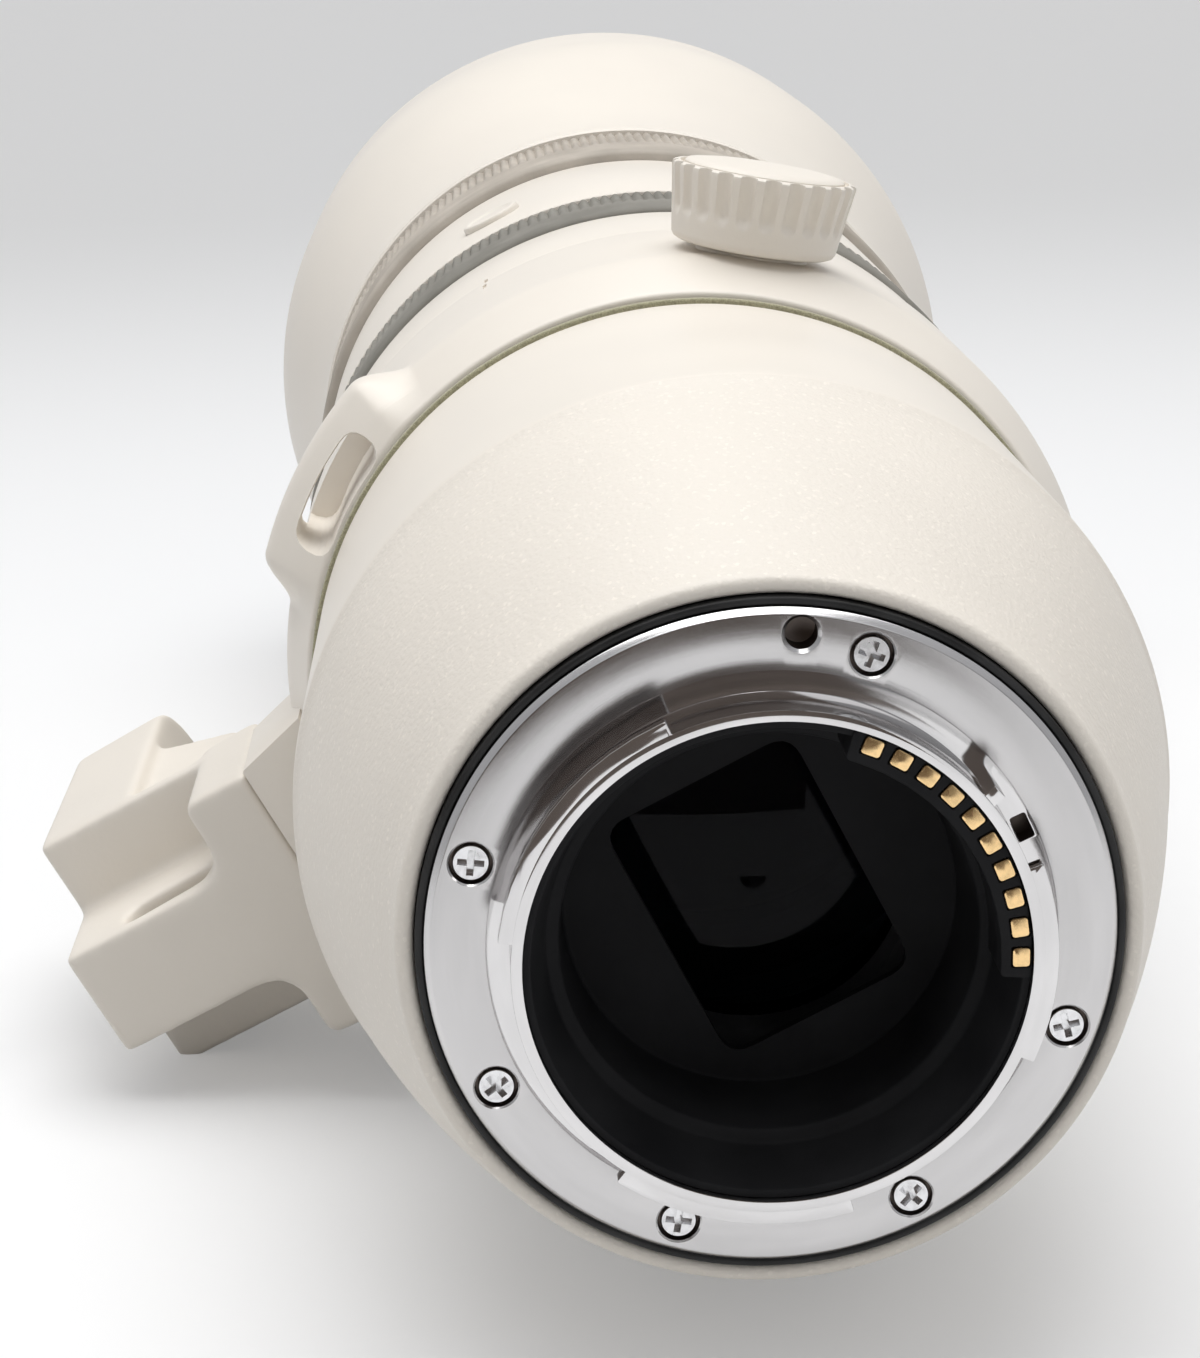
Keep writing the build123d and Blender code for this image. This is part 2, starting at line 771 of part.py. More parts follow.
# Lock knob
def lock_knob():
    """Fluted knob, wider at its rim, with a groove round its cap."""
    foot_y = collar_outer + boss_height + knob_lift
    rim_y = foot_y + knob_height
    profile = make_face(Polyline(
        (0, foot_y), (knob_foot_radius - knob_rim, foot_y), (knob_foot_radius, foot_y + knob_rim),
        (knob_radius, rim_y - knob_rim), (knob_radius - knob_rim, rim_y),
        (knob_cap_radius + knob_cap_groove, rim_y),
        (knob_cap_radius + knob_cap_groove, rim_y - knob_cap_groove),
        (knob_cap_radius, rim_y - knob_cap_groove), (knob_cap_radius, rim_y),
        (knob_cap_radius * cap_crown_share, rim_y + knob_cap_rise * cap_shoulder_share),
        (0, rim_y + knob_cap_rise),
        close=True))
    body = revolve(profile, axis=Axis.Y)
    lean = (knob_radius - knob_foot_radius) / knob_height
    cutters = []
    for index in range(knob_flutes):
        centre = knob_foot_radius + lean * flute_lift + flute_radius - flute_depth
        low = Plane(origin=(centre, foot_y + flute_lift, 0), x_dir=(1, 0, 0),
                    z_dir=(lean, 1, 0))
        flute = extrude(low * Circle(flute_radius), knob_height)
        cutters.append(Rot(0, index * 360 / knob_flutes, 0) * flute)
    body -= cutters
    return place_on_collar(body)


def place_on_collar(shape):
    """Move a shape built about +Y to the knob's axis on the collar."""
    turned_out = Pos(0, collar_back + knob_from_back, 0) * (Rot(0, 0, -90) * shape)
    return at_angle(turned_out, knob_clock)


def lock_shaft():
    """Shaft from the knob down through the collar to the clamp shoe."""
    top = collar_outer + boss_height + knob_lift
    bottom = shoe_bottom + shoe_thickness + shaft_gap
    return place_on_collar(cylinder_up(shaft_radius, bottom, top))


def cylinder_up(radius, low, high):
    """Cylinder about +Y between two heights."""
    return turned((0, low), (radius, low), (radius, high), (0, high))


def clamp_shoe():
    """Shoe under the shaft that grips the bearing when the knob is tightened."""
    return place_on_collar(cylinder_up(shoe_radius, shoe_bottom, shoe_bottom + shoe_thickness))


# Switch panel barrel
def panel_clock():
    """Direction of the switch panel, on the barrel's left side."""
    return barrel_clock + panel_clock_offset


def panel_seat():
    """Distance of the panel's underside from the lens axis."""
    return panel_barrel_radius + panel_rise - panel_thickness


def panel_barrel():
    """Fixed barrel between the collar and the focus ring, with a flat seat for the panel."""
    body = tube(panel_barrel_radius, tube_outer, panel_barrel_back, panel_barrel_front)
    body -= tube(panel_barrel_radius - barrel_wall, tube_outer + barrel_wall,
                 panel_barrel_back + barrel_wall, panel_barrel_front - barrel_wall)
    middle = (panel_barrel_back + panel_barrel_front) / 2
    room = extrude(radial_plane(panel_seat(), middle) * Rectangle(panel_length, panel_width),
                   panel_thickness + cut_over)
    well = extrude(radial_plane(panel_seat() - switch_root - turn_gap, middle)
                   * Rectangle(panel_length - 2 * panel_thickness,
                               panel_width - 2 * panel_thickness), panel_thickness + cut_over)
    mark = extrude(radial_plane(panel_barrel_radius - index_depth, panel_barrel_back
                                + index_length) * Rectangle(index_length, index_width),
                   cut_over)
    pad = extrude(radial_plane(panel_seat() - 2 * panel_thickness, middle)
                  * Rectangle(panel_length + panel_thickness, panel_width + panel_thickness),
                  2 * panel_thickness)
    body = body + at_angle(pad, panel_clock()) - at_angle(room + well, panel_clock())
    return body - at_angle(mark, index_angle)


def switch_places():
    """Offset of each switch across the panel."""
    first = -switch_spacing * (switch_count - 1) / 2
    return [first + switch_spacing * index for index in range(switch_count)]


def switch_panel():
    """Flat plate with a slot for each sliding switch."""
    middle = (panel_barrel_back + panel_barrel_front) / 2
    outline = fillet(Rectangle(panel_length - 2 * turn_gap, panel_width - 2 * turn_gap).vertices(),
                     panel_corner)
    for place in switch_places():
        outline -= Pos(0, place) * Rectangle(switch_slot_length, switch_slot_width)
    plate = extrude(radial_plane(panel_seat(), middle) * outline, panel_thickness)
    return at_angle(plate, panel_clock())


def slide_switch(place):
    """Slider with a ribbed thumb piece and a wider root under the panel."""
    middle = (panel_barrel_back + panel_barrel_front) / 2
    back_most = middle - (switch_slot_length - switch_length) / 2 + turn_gap
    seat = panel_seat()
    stem = extrude(radial_plane(seat - switch_root, back_most) * Pos(0, place)
                   * Rectangle(switch_length, switch_width),
                   switch_root + panel_thickness + switch_height)
    root = extrude(radial_plane(seat - switch_root, back_most) * Pos(0, place)
                   * Rectangle(switch_length + switch_root, switch_width + 2 * switch_root),
                   switch_root - turn_gap)
    crest = panel_thickness + switch_height + seat
    for side in (-1, 0, 1):
        stem -= extrude(radial_plane(crest - index_depth, back_most + side * switch_length / 3)
                        * Pos(0, place) * Rectangle(index_width, switch_width + cut_over),
                        cut_over)
    return at_angle(stem + root, panel_clock())


# Ribbed rings
def ribbed_grip(radius, back, front, teeth):
    """Rubber sleeve with a saw of small ribs along the lens."""
    points = []
    for index in range(teeth):
        for reach, share in ((radius, 0), (radius - grip_tooth, tooth_root_share)):
            turn = 2 * pi * (index + share) / teeth
            points.append((reach * cos(turn), reach * sin(turn)))
    outline = make_face(Polyline(*points, close=True))
    body = extrude(axial_plane(0, back) * outline, front - back)
    return body - tube(radius - grip_wall, 0, back - cut_over, front + cut_over)


def ring_sleeve(grip_radius, inner, back, front):
    """Metal sleeve under a rubber grip, with a flange at each end of its bore."""
    outer = grip_radius - grip_wall
    body = tube(outer, inner, back, front)
    return body - tube(outer - ring_wall / 2, inner + ring_wall / 2, back + ring_wall,
                       front - ring_wall)


# Button barrel
def button_centre():
    """Axial place of the focus hold buttons."""
    return button_barrel_back + button_from_back


def button_barrel():
    """Fixed barrel between the two rings, with a pocket for each focus hold button."""
    body = tube(button_barrel_radius, tube_outer, button_barrel_back, button_barrel_front)
    body -= tube(button_barrel_radius - barrel_wall, tube_outer + barrel_wall,
                 button_barrel_back + barrel_wall, button_barrel_front - barrel_wall)
    for turn in button_turns:
        boss = extrude(radial_plane(tube_outer + barrel_wall / 2, button_centre())
                       * Circle(button_radius + button_collar + button_pocket),
                       button_barrel_radius - tube_outer - barrel_wall)
        floor = button_barrel_radius + button_proud - button_body - button_travel - turn_gap
        pocket = extrude(radial_plane(floor - turn_gap, button_centre())
                         * Circle(button_radius + shaft_gap), button_body + 2 * cut_over)
        body += at_angle(boss, barrel_clock + turn)
        body -= at_angle(pocket, barrel_clock + turn)
    return body


def hold_button(turn):
    """Round button with a dished top."""
    top = button_barrel_radius + button_proud
    body = extrude(radial_plane(top - button_body, button_centre()) * Circle(button_radius),
                   button_body)
    dish = extrude(radial_plane(top - button_dish, button_centre())
                   * Circle(button_radius - button_collar), cut_over)
    return at_angle(body - dish, barrel_clock + turn)


# Zoom drive
def cam_sleeve():
    """Thin sleeve inside the zoom ring with a helical slot for each cam pin."""
    inner = tube_outer + turn_gap
    outer = inner + cam_wall
    back = zoom_middle - cam_margin
    body = tube(outer, inner, back, zoom_middle + zoom_travel + cam_margin)
    pitch = zoom_travel * 360 / zoom_turn
    middle = (inner + outer) / 2
    path = Helix(pitch=pitch, height=zoom_travel, radius=middle)
    path = Rot(-90, 0, 0) * path
    start = path @ 0
    section = Plane(origin=start, z_dir=path % 0) * Circle(cam_slot_radius)
    cutters = [sweep(section, path=path)]
    for point in (path @ 0, path @ 1):
        plane = Plane(origin=(0, point.Y, 0), z_dir=Vector(point.X, 0, point.Z))
        cutters.append(extrude(plane * Circle(cam_slot_radius), outer + cut_over))
    for index in range(cam_slots):
        for cutter in cutters:
            body -= at_angle(Pos(0, zoom_middle, 0) * cutter, index * 360 / cam_slots)
    return body


def cam_pins():
    """Radial pins of the zoom group, through the tube's slots into the cam."""
    root = zoom_lens_radius + cell_wall / 2
    reach = tube_outer + cam_wall
    pin = extrude(radial_plane(root, zoom_middle) * Circle(cam_pin_radius), reach - root)
    return [at_angle(pin, index * 360 / cam_slots) for index in range(cam_slots)]


# Optical groups
def lens(radius, middle, edge, rear_rise, front_rise):
    """Lens element whose faces rise or sink from a flat rim."""
    back = middle - edge / 2
    front = middle + edge / 2
    clear = radius - cell_lip
    edges = [Line((0, back - rear_rise), (0, front + front_rise)),
             face_curve(clear, front, front_rise), Line((clear, front), (radius, front)),
             Line((radius, front), (radius, back)), Line((radius, back), (clear, back)),
             face_curve(clear, back, -rear_rise)]
    return revolve(make_face(edges), axis=lens_axis)


def face_curve(radius, edge_place, rise):
    """Arc from a lens element's middle to its rim."""
    half = radius / 2
    sphere = (radius * radius + rise * rise) / (2 * abs(rise))
    sag = sphere - (sphere * sphere - half * half) ** 0.5
    side = 1 if rise > 0 else -1
    crown = edge_place + rise
    return ThreePointArc((0, crown), (half, crown - side * sag), (radius, edge_place))


def lens_cell(radius, middle, edge, outer, length):
    """Ring that holds a lens element at its edge, with a lip on each side."""
    back = middle - length / 2
    front = middle + length / 2
    low = middle - edge / 2
    high = middle + edge / 2
    return turned((radius, low), (radius - cell_lip, low), (radius - cell_lip / 2, back),
                  (outer, back), (outer, front), (radius - cell_lip / 2, front),
                  (radius - cell_lip, high), (radius, high))


def front_barrel():
    """Cream barrel that flares from the zoom ring to the front rim."""
    flare = front_radius - front_neck_radius
    span = flare_end - front_back
    outside = Spline((front_neck_radius, front_back),
                     (front_neck_radius + flare * flare_middle_share, front_back + span / 2),
                     (front_radius, flare_end),
                     tangents=[(flare_start_slope, 1), (flare_end_slope, 1)])
    rim_front = front_rim_back
    inner_neck = front_neck_radius - front_wall
    inner_front = front_radius - front_wall
    edges = [outside, Line((front_radius, flare_end), (front_radius, rim_front - rim_chamfer)),
             Line((front_radius, rim_front - rim_chamfer), (front_radius - rim_chamfer, rim_front)),
             Line((front_radius - rim_chamfer, rim_front), (inner_front, rim_front)),
             Line((inner_front, rim_front), (inner_front, flare_end)),
             Line((inner_front, flare_end), (inner_neck, front_back + front_wall)),
             Line((inner_neck, front_back + front_wall), (front_seat(), front_back + front_wall)),
             Line((front_seat(), front_back + front_wall), (front_seat(), front_back)),
             Line((front_seat(), front_back), (front_neck_radius, front_back))]
    return revolve(make_face(edges), axis=lens_axis)


def front_seat():
    """Inner radius of the front barrel's back wall, clear of the cam sleeve."""
    return tube_outer + 2 * turn_gap + cam_wall + turn_gap


def front_frame():
    """Cone that carries the front barrel and its lens cell on the main tube."""
    back = zoom_middle + zoom_travel + cam_margin + turn_gap
    outer = front_radius - front_wall
    seat = front_lens_radius + cell_wall
    seat_back = front_rim_back - frame_seat_length
    return turned((tube_outer, back), (tube_outer + frame_wall, back), (outer, seat_back),
                  (outer, front_rim_back), (seat, front_rim_back), (seat, seat_back),
                  (tube_outer + frame_wall / 2, back + 2 * frame_wall),
                  (tube_outer, back + 2 * frame_wall))


def hood_mount():
    """Front ring that takes the lens hood: a groove with three entries from the front."""
    inner = filter_outer - 2 * front_wall
    groove_front = hood_front - hood_groove_from_front
    groove_back = groove_front - hood_groove_width
    body = turned((inner, front_rim_back), (hood_radius, front_rim_back),
                  (hood_radius, groove_back), (hood_radius - hood_groove_depth, groove_back),
                  (hood_radius - hood_groove_depth, groove_front), (hood_radius, groove_front),
                  (hood_radius, hood_front), (inner, hood_front))
    for index in range(hood_entries):
        start = index * 360 / hood_entries
        body -= sector(hood_radius + cut_over, hood_radius - hood_groove_depth, groove_front,
                       hood_front + cut_over, start, start + hood_entry_span)
    return body


def filter_ring():
    """Black front rim with the filter's bore and a stepped light trap behind it."""
    thread_back = filter_front - filter_thread_length
    back = hood_front
    step = (filter_thread_radius - filter_lip) / 2
    return turned((filter_lip, back), (filter_outer, back),
                  (filter_outer, filter_front - filter_chamfer),
                  (filter_outer - filter_chamfer, filter_front),
                  (filter_thread_radius, filter_front), (filter_thread_radius, thread_back),
                  (filter_lip + step, thread_back), (filter_lip, thread_back - step))


def guide_rod(index):
    """Rod that the focus group slides on."""
    back = focus_middle - focus_travel - motor_length
    length = 2 * (focus_travel + motor_length)
    return at_angle(rod(rod_radius, length, rod_circle, back), index * 360 / rod_count)


def focus_cell():
    """Cell of the focus group, bored for its guide rods and cut away for the motors."""
    body = lens_cell(focus_lens_radius, focus_middle, lens_edge, tube_inner - turn_gap,
                     motor_length)
    for index in range(rod_count):
        hole = rod(rod_radius + shaft_gap, motor_length + 2 * cut_over, rod_circle,
                   focus_middle - motor_length / 2 - cut_over)
        body -= at_angle(hole, index * 360 / rod_count)
    for index in range(rod_count):
        body -= at_angle(motor_room(), 90 + index * 360 / rod_count)
    return body


def motor_room():
    """Cutter that leaves the linear motors room over the focus group's travel."""
    plane = radial_plane(tube_inner - motor_height - turn_gap, focus_middle)
    return extrude(plane * Rectangle(2 * (focus_travel + motor_length) + motor_length,
                                     motor_width + 2 * turn_gap), motor_height + cut_over)


def focus_motor(index):
    """Linear motor stator on the inside of the main tube."""
    plane = radial_plane(tube_inner - motor_height, focus_middle)
    bar = extrude(plane * Rectangle(2 * (focus_travel + motor_length / 2), motor_width),
                  motor_height)
    inside = tube(tube_inner, 0, focus_middle - 2 * focus_travel - motor_length,
                  focus_middle + 2 * focus_travel + motor_length)
    return at_angle(bar & inside, 90 + index * 360 / rod_count)


def rod_carrier(place):
    """Spider that holds the ends of the guide rods in the main tube."""
    inner = focus_lens_radius
    body = tube(tube_inner, inner, place, place + rod_overlap)
    for index in range(rod_count):
        hole = rod(rod_radius, rod_overlap + 2 * cut_over, rod_circle, place - cut_over)
        body -= at_angle(hole, index * 360 / rod_count)
    return body


def stabiliser_frame():
    """Frame that carries the shifting lens, open in the middle."""
    outer = tube_inner
    length = lens_edge * 2
    back = stabiliser_middle + length
    return tube(outer, stabiliser_lens_radius, back, back + length / 2)


def stabiliser_cell():
    """Cell of the shifting lens."""
    return lens_cell(stabiliser_lens_radius, stabiliser_middle, lens_edge,
                     stabiliser_lens_radius + 2 * cell_wall, 2 * lens_edge)


def stabiliser_yoke():
    """Ring between the frame and the shifting cell: it slides one way, the cell the other."""
    back = stabiliser_middle + lens_edge + turn_gap
    front = stabiliser_middle + 2 * lens_edge - turn_gap
    return tube(stabiliser_lens_radius + 4 * cell_wall, stabiliser_lens_radius, back, front)


def rear_cell():
    """Cell of the rear element, carried by the main tube's back wall."""
    return lens_cell(rear_lens_radius, rear_lens_middle, lens_edge, rear_cell_outer,
                     2 * lens_edge)


os.makedirs("parts", exist_ok=True)

save(bayonet_mount(), "bayonet_mount")
save(group(mount_screw(turn) for turn in mount_screw_turns), "mount_screws")
save(tube(seal_outer, seal_inner, seal_back, seal_back + seal_depth), "mount_seal")
save(mount_base(), "mount_base")
save(circuit_board(), "circuit_board")
save(contact_block(), "contact_block")
save(group(contact_pad(angle) for angle in contact_angles()), "contact_pads")
save(rear_baffle(), "rear_baffle")
save(rear_shell(), "rear_shell")
save(main_tube(), "main_tube")
save(collar_bearing(), "collar_bearing")
save(collar_felt(), "collar_felt")

save(collar_ring(), "collar_ring")
save(foot(), "foot")
save(group(foot_screw(place) for place in foot_screw_places()), "foot_screws")
save(tripod_bush(), "tripod_bush")
save(lock_knob(), "lock_knob")
save(lock_shaft(), "lock_shaft")
save(clamp_shoe(), "clamp_shoe")

save(panel_barrel(), "panel_barrel")
save(switch_panel(), "switch_panel")
for number, place in enumerate(switch_places(), start=1):
    save(slide_switch(place), "slide_switch_" + str(number))

save(ribbed_grip(focus_grip_radius, focus_back, focus_front, focus_teeth), "focus_grip")
save(ring_sleeve(focus_grip_radius, tube_outer + turn_gap, focus_back, focus_front),
     "focus_sleeve")
save(button_barrel(), "button_barrel")
for number, turn in enumerate(button_turns, start=1):
    save(hold_button(turn), "hold_button_" + str(number))

save(ribbed_grip(zoom_grip_radius, zoom_back, zoom_front, zoom_teeth), "zoom_grip")
save(ring_sleeve(zoom_grip_radius, tube_outer + turn_gap + cam_wall, zoom_back, zoom_front),
     "zoom_sleeve")
save(cam_sleeve(), "cam_sleeve")

save(front_barrel(), "front_barrel")
save(front_frame(), "front_frame")
save(hood_mount(), "hood_mount")
save(filter_ring(), "filter_ring")

save(lens(rear_lens_radius, rear_lens_middle, lens_edge, lens_edge / 3, lens_edge / 2),
     "rear_lens")
save(rear_cell(), "rear_cell")
save(lens(stabiliser_lens_radius, stabiliser_middle, lens_edge, lens_edge / 2, -lens_edge / 4),
     "stabiliser_lens")
save(stabiliser_cell(), "stabiliser_cell")
save(stabiliser_yoke(), "stabiliser_yoke")
save(stabiliser_frame(), "stabiliser_frame")
save(lens(focus_lens_radius, focus_middle, lens_edge, lens_edge / 2, lens_edge / 2),
     "focus_lens")
save(focus_cell(), "focus_cell")
rod_back = focus_middle - focus_travel - motor_length
rod_front = focus_middle + focus_travel + motor_length
save(group(guide_rod(index) for index in range(rod_count)), "guide_rods")
save(group([rod_carrier(rod_back), rod_carrier(rod_front - rod_overlap)]), "rod_carriers")
save(group(focus_motor(index) for index in range(rod_count)), "focus_motors")
save(lens(zoom_lens_radius, zoom_middle, 2 * lens_edge, lens_edge, lens_edge / 2), "zoom_lens")
zoom_cell = lens_cell(zoom_lens_radius, zoom_middle, 2 * lens_edge, tube_inner - turn_gap,
                      3 * lens_edge)
save(zoom_cell + cam_pins(), "zoom_cell")
save(lens(front_lens_radius, front_middle, 2 * lens_edge, -lens_edge, 2 * lens_edge),
     "front_lens")
save(lens_cell(front_lens_radius, front_middle, 2 * lens_edge, front_lens_radius + cell_wall,
               4 * lens_edge), "front_cell")
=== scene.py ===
"""Looks of a super-telephoto zoom lens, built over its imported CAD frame.

Every object is in metres in the row frame: +Y is the optical axis from the bayonet flange to the
front rim, +Z is up, and the origin is the centre of the flange's seating face. Sizes are written in
millimetres as fields of the classes and turned into metres where a mesh is made. Angles are degrees
round +Y as seen from behind: 0 is +X and 90 is +Z.
"""
from __future__ import annotations

import json
import logging
import math
from dataclasses import dataclass
from enum import Enum
from typing import Callable, Iterable, Sequence

import bmesh
import bpy
from mathutils import Matrix, Vector

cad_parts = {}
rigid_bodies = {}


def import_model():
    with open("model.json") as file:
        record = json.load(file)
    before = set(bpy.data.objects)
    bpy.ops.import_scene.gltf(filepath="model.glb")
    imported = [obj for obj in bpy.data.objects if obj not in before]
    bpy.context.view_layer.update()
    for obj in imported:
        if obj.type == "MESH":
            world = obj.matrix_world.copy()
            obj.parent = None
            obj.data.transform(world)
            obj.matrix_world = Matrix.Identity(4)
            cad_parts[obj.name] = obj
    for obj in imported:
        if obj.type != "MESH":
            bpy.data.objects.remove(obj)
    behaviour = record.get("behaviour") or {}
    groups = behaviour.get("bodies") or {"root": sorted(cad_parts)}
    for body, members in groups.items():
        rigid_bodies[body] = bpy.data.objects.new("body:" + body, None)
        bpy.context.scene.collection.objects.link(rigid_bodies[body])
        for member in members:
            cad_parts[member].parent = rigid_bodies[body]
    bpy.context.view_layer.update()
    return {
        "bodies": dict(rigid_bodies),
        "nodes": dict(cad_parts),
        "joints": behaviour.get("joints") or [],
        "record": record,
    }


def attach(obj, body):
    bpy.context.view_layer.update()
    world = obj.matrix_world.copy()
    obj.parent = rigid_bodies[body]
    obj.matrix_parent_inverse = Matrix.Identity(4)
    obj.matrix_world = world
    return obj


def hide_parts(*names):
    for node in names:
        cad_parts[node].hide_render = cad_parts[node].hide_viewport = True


LOG = logging.getLogger("lens")
MM = 0.001
SHARP = 32.0
CIRCLE_STEPS = 48

Color = tuple[float, float, float]
Point = tuple[float, float]
Corner = tuple[float, float, float]
Triple = tuple[float, float, float]


class Body(Enum):
    """Bodies of the frame that pieces ride on."""

    BARREL = "barrel"
    COLLAR = "tripod_collar"
    KNOB = "knob"
    FOCUS_RING = "focus_ring"
    ZOOM_RING = "zoom_ring"


class Direction(Enum):
    """Clocking of the sub-assemblies round the lens, in degrees."""

    BARREL = 28.0
    FOOT = 210.0
    KNOB = 81.4
    INDEX = 120.0


# Places on the lens
def polar(radius: float, angle: float, axial: float) -> Vector:
    """Place round the lens, in metres, from millimetres and degrees."""
    turn = math.radians(angle)
    return Vector((radius * math.cos(turn), axial, radius * math.sin(turn))) * MM


def facing(angle: float, axial: float, radius: float = 0.0) -> Matrix:
    """Placement whose local +X points outwards at an angle and whose +Y runs along the lens.

    Args:
        angle: Direction round the lens, in degrees.
        axial: Place along the lens, in millimetres.
        radius: Distance from the axis, in millimetres.

    Returns:
        The matrix that moves a shape built about the origin to that place.
    """
    return Matrix.Translation(polar(radius, angle, axial)) @ Matrix.Rotation(
        -math.radians(angle), 4, "Y")


def rounded(corners: Sequence[Corner], steps: int = 4) -> list[Point]:
    """Closed outline with each corner rounded.

    Args:
        corners: Points of the outline, each with the length that its rounding takes.
        steps: Number of short edges that each rounding is made of.

    Returns:
        The points of the rounded outline.
    """
    outline: list[Point] = []
    for index, (first, second, reach) in enumerate(corners):
        here = Vector((first, second))
        if reach <= 0:
            outline.append((first, second))
            continue
        before = Vector(corners[index - 1][:2]) - here
        after = Vector(corners[(index + 1) % len(corners)][:2]) - here
        start = here + before.normalized() * min(reach, before.length * 0.48)
        end = here + after.normalized() * min(reach, after.length * 0.48)
        for step in range(steps + 1):
            share = step / steps
            point = start.lerp(here, share).lerp(here.lerp(end, share), share)
            outline.append((point.x, point.y))
    return outline


# Mesh tools
def smooth(mesh: bpy.types.Mesh, sharp: float = SHARP) -> None:
    """Shade a mesh smooth, apart from edges that bend more than some degrees."""
    mesh.shade_smooth()
    mesh.set_sharp_from_angle(angle=math.radians(sharp))


def new_object(name: str, work: bmesh.types.BMesh) -> bpy.types.Object:
    """Make a smooth-shaded object from a bmesh and free the bmesh.

    Args:
        name: The piece's name.
        work: Its mesh, in metres.

    Returns:
        The new object, linked to the scene.
    """
    bmesh.ops.recalc_face_normals(work, faces=work.faces)
    mesh = bpy.data.meshes.new(name)
    work.to_mesh(mesh)
    work.free()
    smooth(mesh)
    item = bpy.data.objects.new(name, mesh)
    bpy.context.scene.collection.objects.link(item)
    return item


def lathe(name: str, profile: Sequence[Point], segments: int = 240) -> bpy.types.Object:
    """Turn a closed profile of (radius, axial) points round the lens.

    Args:
        name: The piece's name.
        profile: Points in millimetres; a radius of zero is a pole.
        segments: Number of flats round the lens.

    Returns:
        The turned object.
    """
    work = bmesh.new()
    rings: list[list[bmesh.types.BMVert]] = []
    for radius, axial in profile:
        if radius < 1e-6:
            rings.append([work.verts.new(Vector((0, axial * MM, 0)))])
        else:
            rings.append([work.verts.new(polar(radius, 360 * turn / segments, axial))
                          for turn in range(segments)])
    for index, ring in enumerate(rings):
        following = rings[(index + 1) % len(rings)]
        if len(ring) == 1 and len(following) == 1:
            continue
        for turn in range(segments):
            later = (turn + 1) % segments
            if len(ring) == 1:
                work.faces.new((ring[0], following[turn], following[later]))
            elif len(following) == 1:
                work.faces.new((ring[turn], following[0], ring[later]))
            else:
                work.faces.new((ring[turn], following[turn], following[later], ring[later]))
    return new_object(name, work)


def turned_shape(name: str, angles: Sequence[float],
                 profile_at: Callable[[float], Sequence[Point]]) -> bpy.types.Object:
    """Turn a closed profile that changes round the lens.

    Args:
        name: The piece's name.
        angles: Direction of each column of points, in degrees.
        profile_at: Gives the (radius, axial) points at an angle, always equally many.

    Returns:
        The turned object.
    """
    work = bmesh.new()
    columns = [[work.verts.new(polar(radius, angle, axial))
                for radius, axial in profile_at(angle)] for angle in angles]
    for index, column in enumerate(columns):
        beside = columns[(index + 1) % len(columns)]
        for level in range(len(column)):
            later = (level + 1) % len(column)
            work.faces.new((column[level], beside[level], beside[later], column[later]))
    return new_object(name, work)


def extruded(name: str, low: Iterable[Vector], high: Iterable[Vector]) -> bpy.types.Object:
    """Make the solid between two outlines with equally many points.

    Args:
        name: The piece's name.
        low: Places of the first outline, in metres.
        high: Places of the second outline.

    Returns:
        The solid.
    """
    work = bmesh.new()
    first, second = [[work.verts.new(place) for place in ring] for ring in (low, high)]
    work.faces.new(first)
    work.faces.new(second)
    for index in range(len(first)):
        later = (index + 1) % len(first)
        work.faces.new((first[index], first[later], second[later], second[index]))
    return new_object(name, work)


def prism(name: str, outline: Sequence[Point], low: float, high: float,
          place: Matrix = Matrix.Identity(4)) -> bpy.types.Object:
    """Extrude an outline of (along the lens, round the lens) points outwards.

    Args:
        name: The piece's name.
        outline: Points in millimetres, in the plane across local +X.
        low: Local X of the inner face, in millimetres.
        high: Local X of the outer face, in millimetres.
        place: Where the shape goes.

    Returns:
        The extruded object.
    """
    return extruded(name, *[[place @ (Vector((level, along, across)) * MM)
                             for along, across in outline] for level in (low, high)])


def section(name: str, outline: Sequence[Point], back: float, front: float,
            angle: float = 0.0, end: Sequence[Point] | None = None) -> bpy.types.Object:
    """Extrude a section across the lens, of (outwards, sideways) points, along the lens.

    Args:
        name: The piece's name.
        outline: Points in millimetres, built facing +X.
        back: Axial place of the rear face.
        front: Axial place of the front face.
        angle: Direction that the section is turned to.
        end: Outline of the front face where it differs, with equally many points.

    Returns:
        The extruded object.
    """
    turn = Matrix.Rotation(-math.radians(angle), 4, "Y")
    return extruded(name, *[[turn @ (Vector((out, level, side)) * MM) for out, side in points]
                            for level, points in ((back, outline), (front, end or outline))])


def circle(radius: float) -> list[Point]:
    """Points of a circle about the origin."""
    return [(radius * math.cos(math.tau * step / CIRCLE_STEPS),
             radius * math.sin(math.tau * step / CIRCLE_STEPS)) for step in range(CIRCLE_STEPS)]


def box(along: float, across: float, corner: float = 0.0) -> list[Point]:
    """Rounded rectangle about the origin."""
    x, y = along / 2, across / 2
    return rounded([(x, y, corner), (-x, y, corner), (-x, -y, corner), (x, -y, corner)], 5)


def index_mark(radius: float, axial: float) -> bpy.types.Object:
    """Tool for an index mark that is cut into the surface of a given radius."""
    return prism("mark", box(3.0, 0.5), radius - 0.25, radius + 1,
                 facing(Direction.INDEX.value, axial))


def arc_band(inner: float, outer: float, half: float, corner: float) -> list[Point]:
    """Outline of (outwards, sideways) points of a band that follows the lens.

    Args:
        inner: Inner radius, in millimetres.
        outer: Outer radius.
        half: Half of its span, in degrees.
        corner: Length of the rounding at its ends.

    Returns:
        The outline's points.
    """
    steps = 10
    inside = half - math.degrees(2.1 * corner / inner)
    turns = [-half] + [inside * (2 * step / steps - 1) for step in range(steps + 1)] + [half]
    return rounded([(radius * math.cos(math.radians(turn)), radius * math.sin(math.radians(turn)),
                     corner if abs(turn) == half else 0.0)
                    for radius, order in ((inner, turns), (outer, turns[::-1])) for turn in order])


